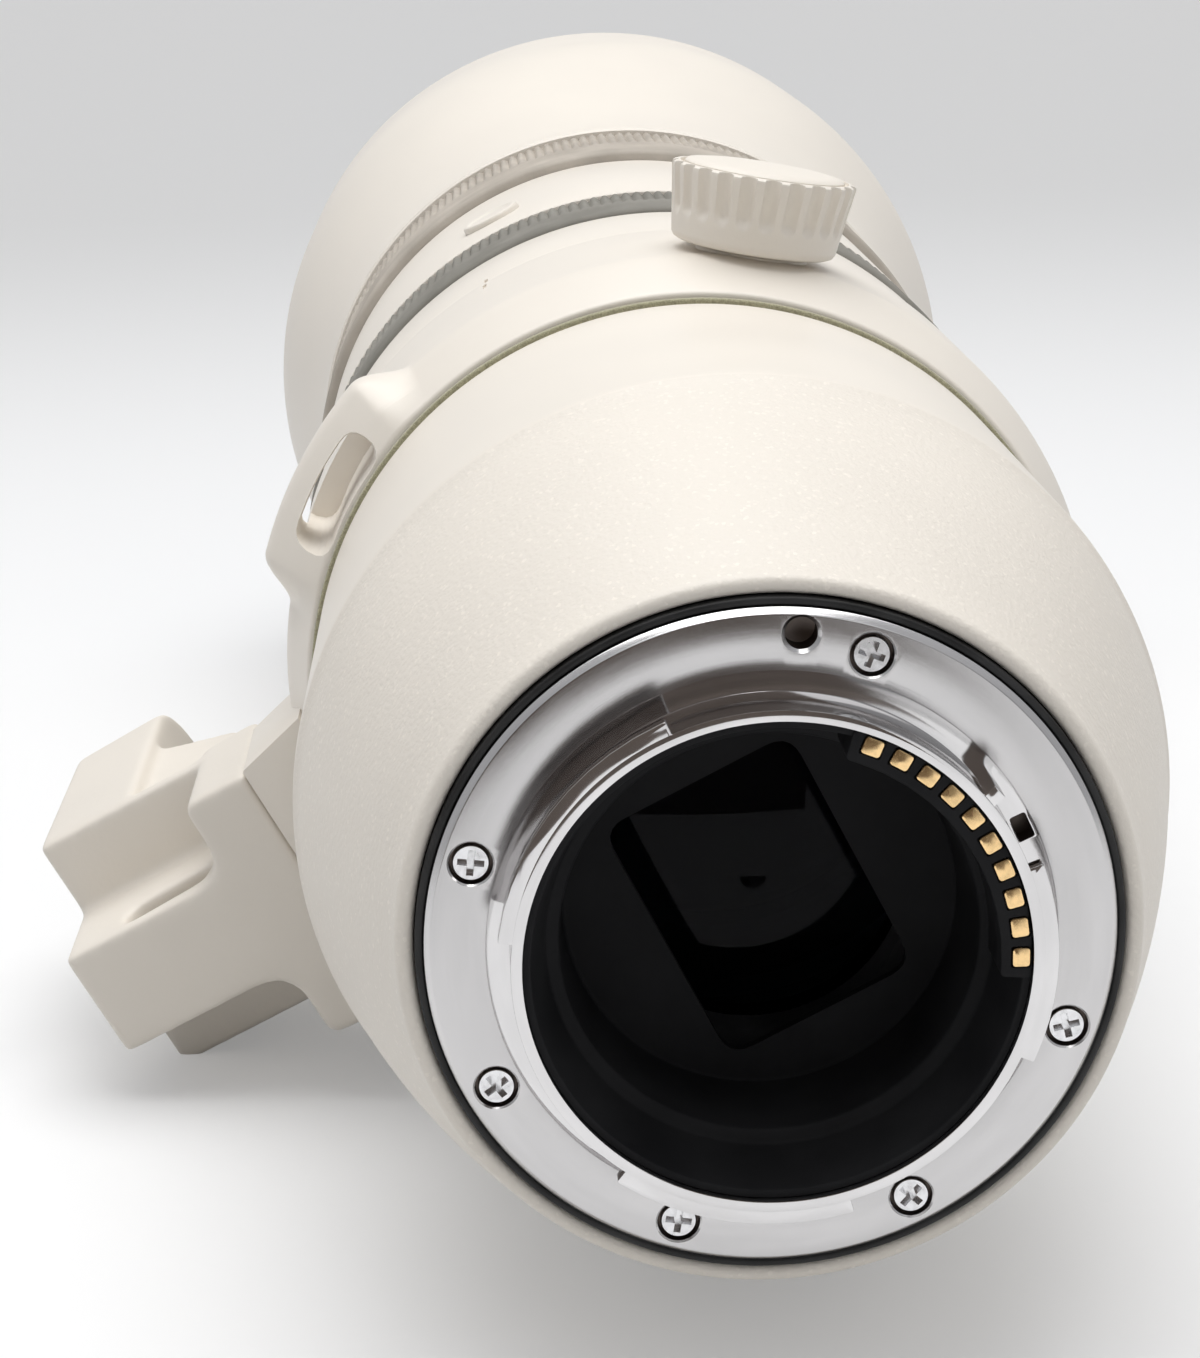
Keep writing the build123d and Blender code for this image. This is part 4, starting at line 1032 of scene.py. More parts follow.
# Bayonet mount
@dataclass
class BayonetMount:
    """Steel flange with its spigot, lugs, screws, seal, contacts and black throat."""

    finishes: Finishes
    trees: Trees
    flange_radius: float = 30.0
    flange_thickness: float = 4.0
    ledge_radius: float = 24.6
    ledge_depth: float = 0.8
    spigot_bore: float = 21.6
    spigot_radius: float = 22.6
    spigot_length: float = 5.0
    lug_radius: float = 23.8
    lug_thickness: float = 1.5
    lug_spans: tuple[Point, ...] = ((-22.5, 22.0), (114.0, 174.0), (235.0, 287.0))
    stop_angle: float = 40.0
    stop_width: float = 1.4
    stop_height: float = 1.9
    screw_circle: float = 27.0
    screw_turns: tuple[float, ...] = (45.0, 135.0, 180.0, 225.0, 270.0, 315.0)
    cross_turns: tuple[float, ...] = (20.0, 96.0, 52.0, 8.0, 40.0, 76.0)
    head_radius: float = 1.6
    thread_radius: float = 0.9
    head_height: float = 1.1
    screw_length: float = 5.8
    cross_tip: float = 1.15
    cross_side: float = 0.3
    cross_depth: float = 0.9
    well_radius: float = 1.9
    well_depth: float = 1.35
    head_sink: float = 0.25
    pin_circle: float = 27.8
    pin_angle: float = 86.0
    pin_radius: float = 1.4
    pin_depth: float = 2.6
    notch_angle: float = 25.6
    notch_out: float = 1.5
    notch_across: float = 2.4
    notch_depth: float = 3.0
    seal_inner: float = 30.05
    seal_outer: float = 30.75
    seal_back: float = 0.7
    seal_front: float = 3.1
    contact_radius: float = 20.6
    contact_count: int = 10
    contact_pitch: float = 7.5
    contact_centre: float = 35.0
    contact_along: float = 1.5
    contact_around: float = 1.7
    block_inner: float = 18.9
    block_rear: float = -4.6
    block_front: float = 1.5
    block_half: float = 39.0
    throat_rear: float = -4.3
    throat_inner: float = 18.3
    throat_neck: float = 20.4
    throat_collar: float = 22.4
    collar_back: float = 8.0
    collar_front: float = 11.0
    gate_plane: float = 12.0
    gate_long: float = 25.0
    gate_short: float = 18.8
    gate_corner: float = 2.4

    def build(self) -> None:
        """Make every piece of the mount."""
        self.flange()
        self.screws()
        self.seal()
        self.contacts()
        self.throat()

    def flange(self) -> None:
        """Flange and spigot in one piece, bored for the screws and the camera's pin."""
        edge = 0.12
        body = lathe("mount_flange", rounded([
            (self.spigot_bore, -self.spigot_length, edge),
            (self.spigot_radius, -self.spigot_length, edge),
            (self.spigot_radius, self.ledge_depth, 0.1),
            (self.ledge_radius, self.ledge_depth, 0.1), (self.ledge_radius, 0, edge),
            (self.flange_radius - 0.6, 0, 0.08), (self.flange_radius - 0.45, 0.16, 0.05),
            (self.flange_radius, 0.6, edge), (self.flange_radius, self.flange_thickness, edge),
            (self.spigot_bore, self.flange_thickness, edge)], 2), 288)
        rear = -self.spigot_length + 0.06
        lugs = [section("lug", arc_band(self.spigot_bore + 0.3, self.lug_radius,
                                        (end - start) / 2, 0.25), rear,
                        rear + self.lug_thickness, (start + end) / 2)
                for start, end in self.lug_spans]
        stop = section("stop", box(self.stop_height, self.stop_width, 0.2), rear + 0.08,
                       self.ledge_depth + 0.3)
        stop.data.transform(facing(self.stop_angle, 0.0, self.spigot_radius + 0.25))
        solids = [soften(lug, 0.14) for lug in lugs] + [soften(stop, 0.1)]
        screws = [polar(self.screw_circle, turn + Direction.BARREL.value, 0)
                  for turn in self.screw_turns]
        pin = polar(self.pin_circle, self.pin_angle, 0)
        bores = [self.hole(place, self.well_radius, 0.15, self.well_depth, self.well_depth)
                 for place in screws]
        bores.append(self.hole(pin, self.pin_radius, 0.3, self.pin_depth, self.pin_depth + 0.5))
        notch = section("notch", box(self.notch_out, self.notch_across, 0.3), -0.4,
                        self.notch_depth)
        notch.data.transform(facing(self.notch_angle, 0.0, self.lug_radius - 0.2))
        combine(body, solids, Cut.ADD)
        combine(body, bores + [notch], Cut.REMOVE)
        dress(body, self.finishes.flange_steel, self.finishes.spigot_steel,
              self.finishes.bored_steel)
        # The walls of the screw wells, the pin hole and the notch get the dark steel, which paints
        # the shade inside these holes.
        bored = [(place, self.well_radius) for place in screws] + [
            (pin, self.pin_radius),
            (polar(self.lug_radius - 0.2, self.notch_angle, 0), self.notch_out)]
        for face in body.data.polygons:
            middle = face.center / MM
            if math.hypot(middle.x, middle.z) < self.ledge_radius:
                face.material_index = 1
            if (0.2 < middle.y < self.flange_thickness - 0.1
                    and abs(middle.y - self.ledge_depth) > 0.02
                    and any(math.hypot(middle.x - place.x / MM, middle.z - place.z / MM)
                            < radius + 0.05 for place, radius in bored)):
                face.material_index = 2
        stand_for(body, Body.BARREL, "bayonet_mount")

    def hole(self, place: Vector, radius: float, rim: float, depth: float,
             tip: float) -> bpy.types.Object:
        """Tool for a hole that is bored forwards from the seat.

        Args:
            place: Where it is bored, in metres.
            radius: Its radius, in millimetres.
            rim: Width of its broken edge.
            depth: Depth of its wall.
            tip: Depth of its middle.

        Returns:
            The tool.
        """
        tool = lathe("hole", [(0, -1), (radius + rim, -1), (radius + rim, -0.001), (radius, rim),
                              (radius, depth), (0, tip)], 48)
        tool.data.transform(Matrix.Translation(place))
        return tool

    def cross_screw(self) -> bpy.types.Object:
        """One cross-head screw about the origin, its head towards -Y.

        Returns:
            The screw.
        """
        radius, thread = self.head_radius, self.thread_radius
        head = lathe("screw_part", rounded([
            (0, 0, 0), (radius - 0.1, 0, 0.0), (radius, 0.1, 0.1),
            (radius, self.head_height, 0.05), (thread, self.head_height, 0.05),
            (thread, self.screw_length - 0.2, 0.3), (0, self.screw_length, 0)], 2), 48)
        tip, side = self.cross_tip, self.cross_side
        quarter = [(tip, -side), (tip, side), (side, side)]
        outline: list[Point] = []
        for _ in range(4):
            outline += quarter
            quarter = [(-second, first) for first, second in quarter]
        cross = section("cross", outline, -1.0, self.cross_depth)
        return soften(combine(head, [cross], Cut.REMOVE), 0.03, 1, 50.0)

    def screws(self) -> None:
        """Six screws, each turned as its thread left it."""
        part = self.cross_screw()
        work = bmesh.new()
        layer = work.verts.layers.float.new("turn")
        for turn, cross in zip(self.screw_turns, self.cross_turns):
            spot = work.verts.new(polar(self.screw_circle, turn + Direction.BARREL.value,
                                        self.head_sink))
            spot[layer] = math.radians(cross)
        item = new_object("mount_cross_screws", work)
        spots = [spot.co.copy() for spot in item.data.vertices]
        self.trees.points.run(item, {"Part": part, "Material": self.finishes.screw_steel})
        bpy.data.objects.remove(part)
        # The cross recesses take the throat's black as painted shade in the recess; the screws
        # themselves are plain steel.
        item.data.materials.append(self.finishes.throat_black)
        for face in item.data.polygons:
            middle = face.center
            off = min(math.hypot(middle.x - spot.x, middle.z - spot.z) for spot in spots)
            deep = middle.y / MM - self.head_sink
            if off < (self.cross_tip + 0.1) * MM and 0.05 < deep < self.head_height - 0.05:
                face.material_index = 1
        stand_for(item, Body.BARREL, "mount_screws")

    def seal(self) -> None:
        """Black weather seal between the flange and the shell."""
        ring = lathe("weather_seal", rounded([
            (self.seal_inner, self.seal_back, 0.3), (self.seal_outer, self.seal_back, 0.3),
            (self.seal_outer, self.seal_front, 0.2), (self.seal_inner, self.seal_front, 0.2)]))
        stand_for(ring, Body.BARREL, "mount_seal", finish=self.finishes.seal_rubber)

    def contacts(self) -> None:
        """Black contact carrier and its row of gold pads in shallow wells."""
        block = section("contact_carrier", arc_band(self.block_inner, self.spigot_bore - 0.05,
                                                    self.block_half, 0.5),
                        self.block_rear, self.block_front, self.contact_centre)
        first = self.contact_centre - self.contact_pitch * (self.contact_count - 1) / 2
        angles = [first + self.contact_pitch * index for index in range(self.contact_count)]
        wells = []
        for angle in angles:
            well = section("well", box(self.contact_along + 0.25, self.contact_around + 0.25,
                                       0.25), self.block_rear - 1, self.block_rear + 0.5)
            well.data.transform(facing(angle, 0.0, self.contact_radius))
            wells.append(well)
        combine(soften(block, 0.12), wells, Cut.REMOVE)
        stand_for(block, Body.BARREL, "contact_block", finish=self.finishes.throat_black)
        pad = section("contact_gold_pads", box(self.contact_along, self.contact_around, 0.35),
                      self.block_rear - 0.12, self.block_rear + 0.6)
        pad.data.transform(Matrix.Translation((self.contact_radius * MM, 0, 0)))
        soften(pad, 0.1)
        self.trees.ring.run(pad, {
            "Count": self.contact_count, "First": math.radians(first),
            "Step": math.radians(self.contact_pitch), "Material": self.finishes.gold})
        stand_for(pad, Body.BARREL, "contact_pads")

    def throat(self) -> None:
        """Black funnel with the rectangular light gate at its end."""
        neck, collar = self.throat_neck, self.throat_collar
        body = lathe("throat_baffle", rounded([
            (self.spigot_bore - 0.7, self.throat_rear, 0.2),
            (self.spigot_bore - 0.03, self.throat_rear, 0.1),
            (self.spigot_bore - 0.03, self.flange_thickness + 0.1, 0.0),
            (neck, self.flange_thickness + 0.1, 0.0), (neck, self.collar_back, 0.0),
            (collar, self.collar_back, 0.0), (collar, self.collar_front, 0.0),
            (neck, self.collar_front, 0.0), (neck, self.gate_plane + 1, 0.0),
            (0, self.gate_plane + 1, 0.0), (0, self.gate_plane, 0.0),
            (self.throat_inner - 0.5, self.gate_plane, 0.5), (self.throat_inner, 2.6, 0.3),
            (self.throat_inner + 1.2, 2.2, 0.3)], 3), 192)
        gate = section("gate", box(self.gate_short, self.gate_long, self.gate_corner),
                       self.gate_plane - 1, self.gate_plane + 2, Direction.BARREL.value)
        combine(body, [gate], Cut.REMOVE)
        stand_for(body, Body.BARREL, "rear_baffle", finish=self.finishes.throat_black)


# Rear shell
@dataclass
class RearShell:
    """Cream shell behind the collar, with the felt ring in the groove before the collar."""

    finishes: Finishes
    lip_inner: float = 30.8
    lip_radius: float = 32.6
    lip_back: float = 1.0
    lip_round: float = 1.2
    shoulder_radius: float = 42.9
    shoulder_back: float = 36.5
    shell_radius: float = 43.3
    shell_front: float = 81.8
    wall: float = 2.0
    bulge: float = 0.72
    felt_inner: float = 40.2
    felt_outer: float = 43.8
    felt_length: float = 1.4

    def build(self) -> None:
        """Make the shell and the felt."""
        self.shell()
        self.felt()

    def cone(self, steps: int = 14) -> list[Point]:
        """Outside of the cone from the lip to the shoulder, a little bulged.

        Args:
            steps: Number of edges along it.

        Returns:
            Its (radius, axial) points.
        """
        points = []
        start = self.lip_back + self.lip_round
        for step in range(steps + 1):
            share = step / steps
            swell = self.bulge * 4 * share * (1 - share)
            points.append((self.lip_radius + (self.shoulder_radius - self.lip_radius) * share
                           + swell, start + (self.shoulder_back - start) * share))
        return points

    def shell(self) -> None:
        """Sparkling cone, smooth cylinder and the rolled lip at the mount."""
        lip_middle = (self.lip_inner + self.lip_radius) / 2
        half = (self.lip_radius - self.lip_inner) / 2
        lip = [(lip_middle - half * math.cos(turn), self.lip_back + self.lip_round
                - self.lip_round * math.sin(turn))
               for turn in [math.pi * step / 10 for step in range(10)]]
        outside = self.cone()
        rest = [(self.shell_radius - 0.1, self.shoulder_back + 0.5),
                (self.shell_radius, self.shoulder_back + 1.6),
                (self.shell_radius, self.shell_front - 0.3),
                (self.shell_radius - 0.3, self.shell_front),
                (self.shell_radius - self.wall, self.shell_front),
                (self.shell_radius - self.wall, self.shoulder_back + self.wall),
                (self.lip_radius, 12.0), (self.lip_inner, 4.0)]
        body = lathe("rear_shell_skin", lip + outside + rest, 320)
        dress(body, self.finishes.cream_sparkle, self.finishes.cream_smooth)
        for face in body.data.polygons:
            if face.center.y > (self.shoulder_back + 0.4) * MM:
                face.material_index = 1
        stand_for(body, Body.BARREL, "rear_shell")

    def felt(self) -> None:
        """Felt ring that keeps dust out of the collar."""
        back, front = self.shell_front, self.shell_front + self.felt_length
        ring = lathe("collar_felt_ring", rounded([
            (self.felt_inner, back, 0.0), (self.shell_radius - 1.6, back, 0.0),
            (self.shell_radius - 1.6, back + 0.3, 0.0), (self.felt_outer, back + 0.3, 0.3),
            (self.felt_outer, front, 0.4), (self.felt_inner, front, 0.2)]))
        stand_for(ring, Body.BARREL, "collar_felt", finish=self.finishes.felt)


# Tripod collar
@dataclass
class TripodCollar:
    """Rotating collar with its strap lugs, pedestal, foot and threaded bush."""

    finishes: Finishes
    bore: float = 40.5
    outer: float = 47.2
    back: float = 83.6
    front: float = 116.6
    chamfer_length: float = 9.0
    chamfer_depth: float = 2.9
    lug_offset: float = 58.0
    lug_top: float = 51.0
    lug_crest_half: float = 12.2
    lug_root_half: float = 19.3
    lug_length: float = 10.5
    fine_step: float = 0.36
    coarse_step: float = 1.25
    slot_floor: float = 44.3
    slot_top: float = 48.45
    slot_half: float = 8.4
    slot_run: float = 18.0
    knob_axial: float = 99.1
    boss_radius: float = 6.5
    boss_height: float = 0.15
    shaft_bore: float = 3.06
    shoe_bore: float = 4.26
    pedestal_top: float = 50.3
    pedestal_half: float = 17.0
    pedestal_flare: float = 19.2
    sole: float = 81.62
    plate: float = 13.5
    foot_length: float = 63.0
    foot_half: float = 16.75
    wide_front: float = 100.6
    core_half: float = 12.0
    scoop: float = 1.2
    neck_front: float = 44.0
    flange_height: float = 8.6
    flange_blend: float = 4.5
    rib_half: float = 7.0
    rake: float = 4.0
    pocket: float = 16.0
    nose: float = 7.0
    nose_corner: float = 10.0
    cord_slot_place: Triple = (67.35, 7.5, 4.0)
    cord_slot_size: Triple = (12.4, 4.8, 2.3)
    cast_voxel: float = 0.42
    cast_polish: int = 22
    screw_bores: tuple[float, ...] = (10.0, 26.0)
    screw_bore: float = 4.26
    bush_place: float = 42.0
    bush_radius: float = 6.35
    bush_bore: float = 4.35
    bush_depth: float = 9.5
    bush_pitch: float = 1.2
    pin_bore: Triple = (52.4, 2.3, 6.0)

    def build(self) -> None:
        """Make every piece of the collar."""
        self.ring()
        self.foot()
        self.bush()

    def lug_offsets(self, angle: float) -> float:
        """Degrees from an angle to the middle of the nearer strap lug."""
        return min(abs((angle - Direction.FOOT.value - side * self.lug_offset + 180) % 360 - 180)
                   for side in (-1, 1))

    def edge_profile(self, angle: float) -> list[Point]:
        """Profile of the ring at an angle; its back edge rises smoothly into a strap lug.

        Args:
            angle: Direction round the lens, in degrees.

        Returns:
            Its (radius, axial) points.
        """
        share = (self.lug_root_half - self.lug_offsets(angle)) / (
            self.lug_root_half - self.lug_crest_half)
        share = min(1.0, max(0.0, share))
        share = share * share * (3 - 2 * share)
        back, crest = self.back, self.back + self.lug_length
        low = self.outer - self.chamfer_depth
        plain = [(self.bore, back, 0.2), (low, back, 0.5),
                 (low + self.chamfer_depth / 2, back + self.chamfer_length / 2, 0.4),
                 (self.outer, back + self.chamfer_length, 2.4), (self.outer, back + 11, 0.4),
                 (self.outer, back + 14, 0.4), (self.outer, self.front, 0.7),
                 (self.bore, self.front, 0.2)]
        raised = [(self.bore, back, 0.2), (low, back, 0.5), (low + 2.8, back + 2.3, 0.4),
                  (self.lug_top, back + 6.0, 1.3), (self.lug_top, crest - 0.9, 1.4),
                  (self.outer, crest + 1.2, 1.4), (self.outer, self.front, 0.7),
                  (self.bore, self.front, 0.2)]
        corners = [tuple(first + (second - first) * share for first, second in zip(*pair))
                   for pair in zip(plain, raised)]
        return rounded(corners, 4)

    def strap_slot(self, angle: float) -> bpy.types.Object:
        """Tool for the strap's way under a lug."""
        return section("slot", arc_band(self.slot_floor, self.slot_top, self.slot_half, 2.1),
                       self.back - 1, self.back + self.slot_run, angle)

    def slot_mouth(self, angle: float) -> bpy.types.Object:
        """Tool for the soft edge round a slot's mouth.

        Args:
            angle: Direction of the strap lug, in degrees.

        Returns:
            The tool.
        """
        wide = arc_band(self.slot_floor - 0.1, self.slot_top + 1.0, self.slot_half + 1.2, 2.6)
        tight = arc_band(self.slot_floor + 0.02, self.slot_top - 0.02, self.slot_half - 0.05, 2.1)
        return section("mouth", wide, self.back - 0.2, self.back + 4.6, angle, tight)

    def ring(self) -> None:
        """Collar ring, chamfered towards the mount."""
        angles = [0.0]
        while angles[-1] < 360:
            on_slope = (self.lug_crest_half - 1 < self.lug_offsets(angles[-1])
                        < self.lug_root_half + 1)
            angles.append(angles[-1] + (self.fine_step if on_slope else self.coarse_step))
        body = turned_shape("collar_body", angles[:-1], self.edge_profile)
        lugs = [Direction.FOOT.value + side * self.lug_offset for side in (-1, 1)]
        combine(body, [self.pedestal()], Cut.ADD)
        boss = lathe("boss", rounded([(0, self.outer - 1, 0), (self.boss_radius, self.outer - 1, 0),
                                      (self.boss_radius, self.outer + self.boss_height, 0.3),
                                      (0, self.outer + self.boss_height, 0)], 3), 64)
        bore = lathe("bore", [(0, self.bore - 2), (self.shoe_bore, self.bore - 2),
                              (self.shoe_bore, self.bore + 2.1), (self.shaft_bore, self.bore + 2.1),
                              (self.shaft_bore, self.outer + 3), (0, self.outer + 3)], 48)
        for tool in (boss, bore):
            point_outwards(tool, Direction.KNOB.value, self.knob_axial)
        combine(body, [boss], Cut.ADD)
        mark = index_mark(self.outer, self.front - 3.6)
        slots = [make(angle) for angle in lugs for make in (self.strap_slot, self.slot_mouth)]
        combine(body, [bore, mark] + slots, Cut.REMOVE)
        stand_for(body, Body.COLLAR, "collar_ring", finish=self.finishes.cream_smooth)

    def pedestal(self) -> bpy.types.Object:
        """Block that the foot is screwed to, flared where it meets the ring.

        Returns:
            The block.
        """
        top, half, flare = self.pedestal_top, self.pedestal_half, self.pedestal_flare
        low = self.bore + 1.0
        body = section("pedestal", rounded([
            (low, -flare, 0.0), (top, -half, 0.3), (top, half, 0.3), (low, flare, 0.0)],
            5), self.back + 0.4, self.wide_front, Direction.FOOT.value)
        core = section("core", [(low + 0.1, -self.core_half), (top - 0.02, -self.core_half),
                                (top - 0.02, self.core_half), (low + 0.1, self.core_half)],
                       self.back + 4, self.front, Direction.FOOT.value)
        return soften(combine(body, [core], Cut.ADD), 0.3, 2, 50.0)

    def foot(self) -> None:
        """Cast foot: flange, rib with pockets beside it, neck and plate with a rounded nose."""
        back = self.back + 0.4
        pocket = back + self.pocket
        plate_low = self.sole - self.plate
        low = self.pedestal_top + 0.05
        top = self.pedestal_top + self.flange_height
        half, rib = self.foot_half, self.rib_half
        head = section("rib", rounded([
            (low, -half, 0.4), (top, -half, 1.8), (top, -rib, self.flange_blend),
            (self.sole, -rib, 0.6), (self.sole, rib, 0.6), (top, rib, self.flange_blend),
            (top, half, 1.8), (low, half, 0.4)], 6), back, pocket + self.rake + 2)
        self.lean_wall(head, back)
        combine(head, [self.foot_slot()], Cut.REMOVE)
        flange, core = [section("flange", rounded([
            (low, -reach, 0.4), (top, -reach, 1.8), (top, reach, 1.8), (low, reach, 0.4)], 5),
            back + 8, front) for reach, front in ((half, self.wide_front),
                                                  (self.core_half, self.front))]
        wall = prism("wall", box(2.4, 2 * half - 0.2), top - 1, self.sole - 0.1,
                     Matrix.Translation((0, (pocket + 1.2) * MM, 0)))
        self.lean_wall(wall, pocket)
        self.lean_wall(wall, pocket + 2.4)
        wide = half - self.scoop
        neck = section("neck", [(top - 1, -self.core_half), (plate_low + 2, -wide),
                                (plate_low + 2, wide), (top - 1, self.core_half)],
                       pocket + 1, back + self.neck_front)
        plate = self.plate_solid(pocket + 1, plate_low, back + self.foot_length)
        body = join("foot_body", [soften(head, 1.8, 3, 60.0), flange, core, wall,
                                  self.lean_wall(neck, pocket + 1), plate])
        remesh = body.modifiers.new("cast", "REMESH")
        remesh.mode = "VOXEL"
        remesh.voxel_size = self.cast_voxel * MM
        polish = body.modifiers.new("cast_edges", "SMOOTH")
        polish.factor = 0.5
        polish.iterations = self.cast_polish
        freeze(body, 60.0)
        bores = [(axial, self.screw_bore, self.plate) for axial in self.screw_bores]
        bores += [(self.bush_place, self.bush_radius + 0.05, self.bush_depth), self.pin_bore]
        combine(body, [prism("bore", circle(radius), self.sole - depth, self.sole + 2,
                             facing(0.0, self.back + axial)) for axial, radius, depth in bores],
                Cut.REMOVE, 45.0)
        body.data.transform(Matrix.Rotation(-math.radians(Direction.FOOT.value), 4, "Y"))
        stand_for(body, Body.COLLAR, "foot", finish=self.finishes.cream_cast)

    def lean_wall(self, item: bpy.types.Object, wall: float) -> bpy.types.Object:
        """Lean a wall of the foot forwards from its seat to its sole."""
        return lean(item, wall, self.rake, self.pedestal_top, self.sole)

    def plate_solid(self, back: float, low: float, front: float) -> bpy.types.Object:
        """Plate of the foot, with a nose that is round in plan and curves up from the sole.

        Args:
            back: Axial place of its rear wall, in millimetres.
            low: Level of its face towards the lens.
            front: Axial place of its nose.

        Returns:
            The plate.
        """
        half = self.foot_half
        plan = rounded([(back, -half, 0.0), (back, half, 0.0),
                        (front, half, self.nose_corner), (front, -half, self.nose_corner)], 8)
        plate = self.lean_wall(prism("plate", plan, low, self.sole), back)
        self.round_nose(plate, front)
        return soften(plate, 1.9, 3, 50.0)

    def round_nose(self, body: bpy.types.Object, front: float) -> None:
        """Cut the plate's front so that its sole curves up.

        Args:
            body: The plate.
            front: Axial place of its nose, in millimetres.
        """
        steps = 8
        arc = [(self.sole - self.nose + self.nose * math.cos(math.pi / 2 * step / steps),
                front - self.nose + self.nose * math.sin(math.pi / 2 * step / steps))
               for step in range(steps + 1)]
        outline = arc + [(self.sole - self.nose, front + 2), (self.sole + 2, front + 2),
                         (self.sole + 2, front - self.nose)]
        tool = extruded("nose_tool", *[[Vector((out, along, side)) * MM for out, along in outline]
                                       for side in (-self.foot_half - 2, self.foot_half + 2)])
        combine(body, [tool], Cut.REMOVE)

    def foot_slot(self) -> bpy.types.Object:
        """Tool for the slot beside the rib, for a security cord or strap.

        Returns:
            The tool.
        """
        out, along, depth = self.cord_slot_place
        place = (Matrix.Translation(Vector((out, self.back + 0.4 + along,
                                            -self.rib_half - 2)) * MM)
                 @ Matrix.Rotation(-math.pi / 2, 4, "Y"))
        return prism("slot", [(across, along) for along, across in box(*self.cord_slot_size)], 0,
                     depth + 3, place)

    def bush(self) -> None:
        """Threaded bush in the sole, with its thread cut as fine ridges."""
        depth, bore, outer = self.bush_depth, self.bush_bore, self.bush_radius
        pitch = self.bush_pitch
        wall: list[Point] = []
        for index in range(int(depth / pitch)):
            low = self.sole - depth + pitch * index
            wall += [(bore + 0.35, low + pitch * 0.5), (bore, low + pitch)]
        body = lathe("tripod_thread_bush", [(bore, self.sole - depth)] + wall + [
            (bore + 0.4, self.sole - 0.05), (outer, self.sole - 0.05),
            (outer, self.sole - depth)], 64)
        point_outwards(body, Direction.FOOT.value, self.back + self.bush_place)
        stand_for(body, Body.COLLAR, "tripod_bush", finish=self.finishes.machined)


# Lock knob
@dataclass
class LockKnob:
    """Fluted knob on the collar."""

    finishes: Finishes
    axial: float = 99.1
    foot_level: float = 47.65
    height: float = 8.75
    rim_radius: float = 10.7
    foot_radius: float = 9.45
    flutes: int = 24
    flute_radius: float = 0.95
    flute_depth: float = 0.75
    smooth_band: float = 2.6
    cap_radius: float = 9.2
    cap_rise: float = 0.8
    foot_round: float = 0.7

    def side_radius(self, level: float) -> float:
        """Radius of the leaning side at a level."""
        return self.foot_radius + (self.rim_radius - self.foot_radius) * (
            level - self.foot_level) / self.height

    def build(self) -> None:
        """Make the knob: a turned body whose side is cut into flutes."""
        rim = self.foot_level + self.height
        start = self.foot_level + self.foot_round
        levels = [start + (rim - 0.45 - start) * step / 24 for step in range(25)]
        side = [(self.side_radius(level), level) for level in levels]
        foot = [(0, self.foot_level), (self.foot_radius - self.foot_round, self.foot_level),
                (self.foot_radius - 0.2, self.foot_level + 0.22)]
        top = [(self.rim_radius - 0.12, rim - 0.22), (self.rim_radius - 0.32, rim - 0.06),
               (self.rim_radius - 0.55, rim), (self.cap_radius + 0.55, rim),
               (self.cap_radius + 0.4, rim - 0.45), (self.cap_radius + 0.08, rim - 0.45),
               (self.cap_radius, rim + 0.05), (self.cap_radius - 0.3, rim + 0.32),
               (self.cap_radius * 0.8, rim + 0.55), (self.cap_radius * 0.4, rim + 0.75),
               (0, rim + self.cap_rise)]
        body = lathe("fluted_lock_knob", foot + side + top, self.flutes * 12)
        self.cut_flutes(body)
        point_outwards(body, Direction.KNOB.value, self.axial)
        smooth(body.data, 34.0)
        stand_for(body, Body.KNOB, "lock_knob", finish=self.finishes.cream_cast)

    def cut_flutes(self, body: bpy.types.Object) -> None:
        """Move the side's points into round flutes that run out above the smooth band.

        Args:
            body: The knob, while its axis is still the Y axis.
        """
        pitch = math.tau / self.flutes
        for vertex in body.data.vertices:
            place = vertex.co / MM
            radius = math.hypot(place.x, place.z)
            run = min(1.0, max(0.0, (place.y - self.foot_level - self.smooth_band) / 1.5))
            if radius < self.cap_radius + 0.6 or run == 0:
                continue
            run = run * run * (3 - 2 * run)
            centre = self.side_radius(place.y) + self.flute_radius - self.flute_depth * run
            turn = math.atan2(place.z, place.x)
            off = (turn - round(turn / pitch) * pitch) * centre
            if abs(off) < self.flute_radius:
                reach = centre - math.sqrt(self.flute_radius ** 2 - off * off)
                shrink = min(1.0, reach / radius)
                vertex.co.x *= shrink
                vertex.co.z *= shrink


# Barrels and rings
@dataclass
class RibbedRing:
    """Rubber grip with fine ribs, over its sleeve."""

    rubber: bpy.types.Material
    trees: Trees
    name: str
    node: str
    body: Body
    radius: float
    back: float
    front: float
    ribs: int
    depth: float = 0.675
    flat: float = 0.26
    wall: float = 2.6
    border: float = 0.5
    lip: float = 0.25
    smooth_share: float = 0.45
    fade: float = 3.0

    def build(self) -> None:
        """Make the sleeve and press the ribs into it."""
        inner = self.radius - self.wall
        lip = self.radius - self.lip
        start = self.back + self.smooth_share * (self.front - self.back)
        levels = [start + self.fade * step / 4 for step in range(5)]
        profile = [(inner, self.back), (lip - 0.3, self.back), (lip, self.back + self.lip),
                   (self.radius, self.back + self.border)]
        profile += [(self.radius, level) for level in levels]
        profile += [(self.radius, self.front - self.border), (lip, self.front - self.lip),
                    (lip - 0.3, self.front), (inner, self.front)]
        sleeve = lathe(self.name, profile, self.ribs * 6)
        self.trees.ribs.run(sleeve, {
            "Ribs": float(self.ribs), "Depth": self.depth * MM,
            "Inside": (inner + 0.2) * MM, "Flat": self.flat, "Start": start * MM,
            "Fade": self.fade * MM, "Material": self.rubber}, 60.0)
        stand_for(sleeve, self.body, self.node)


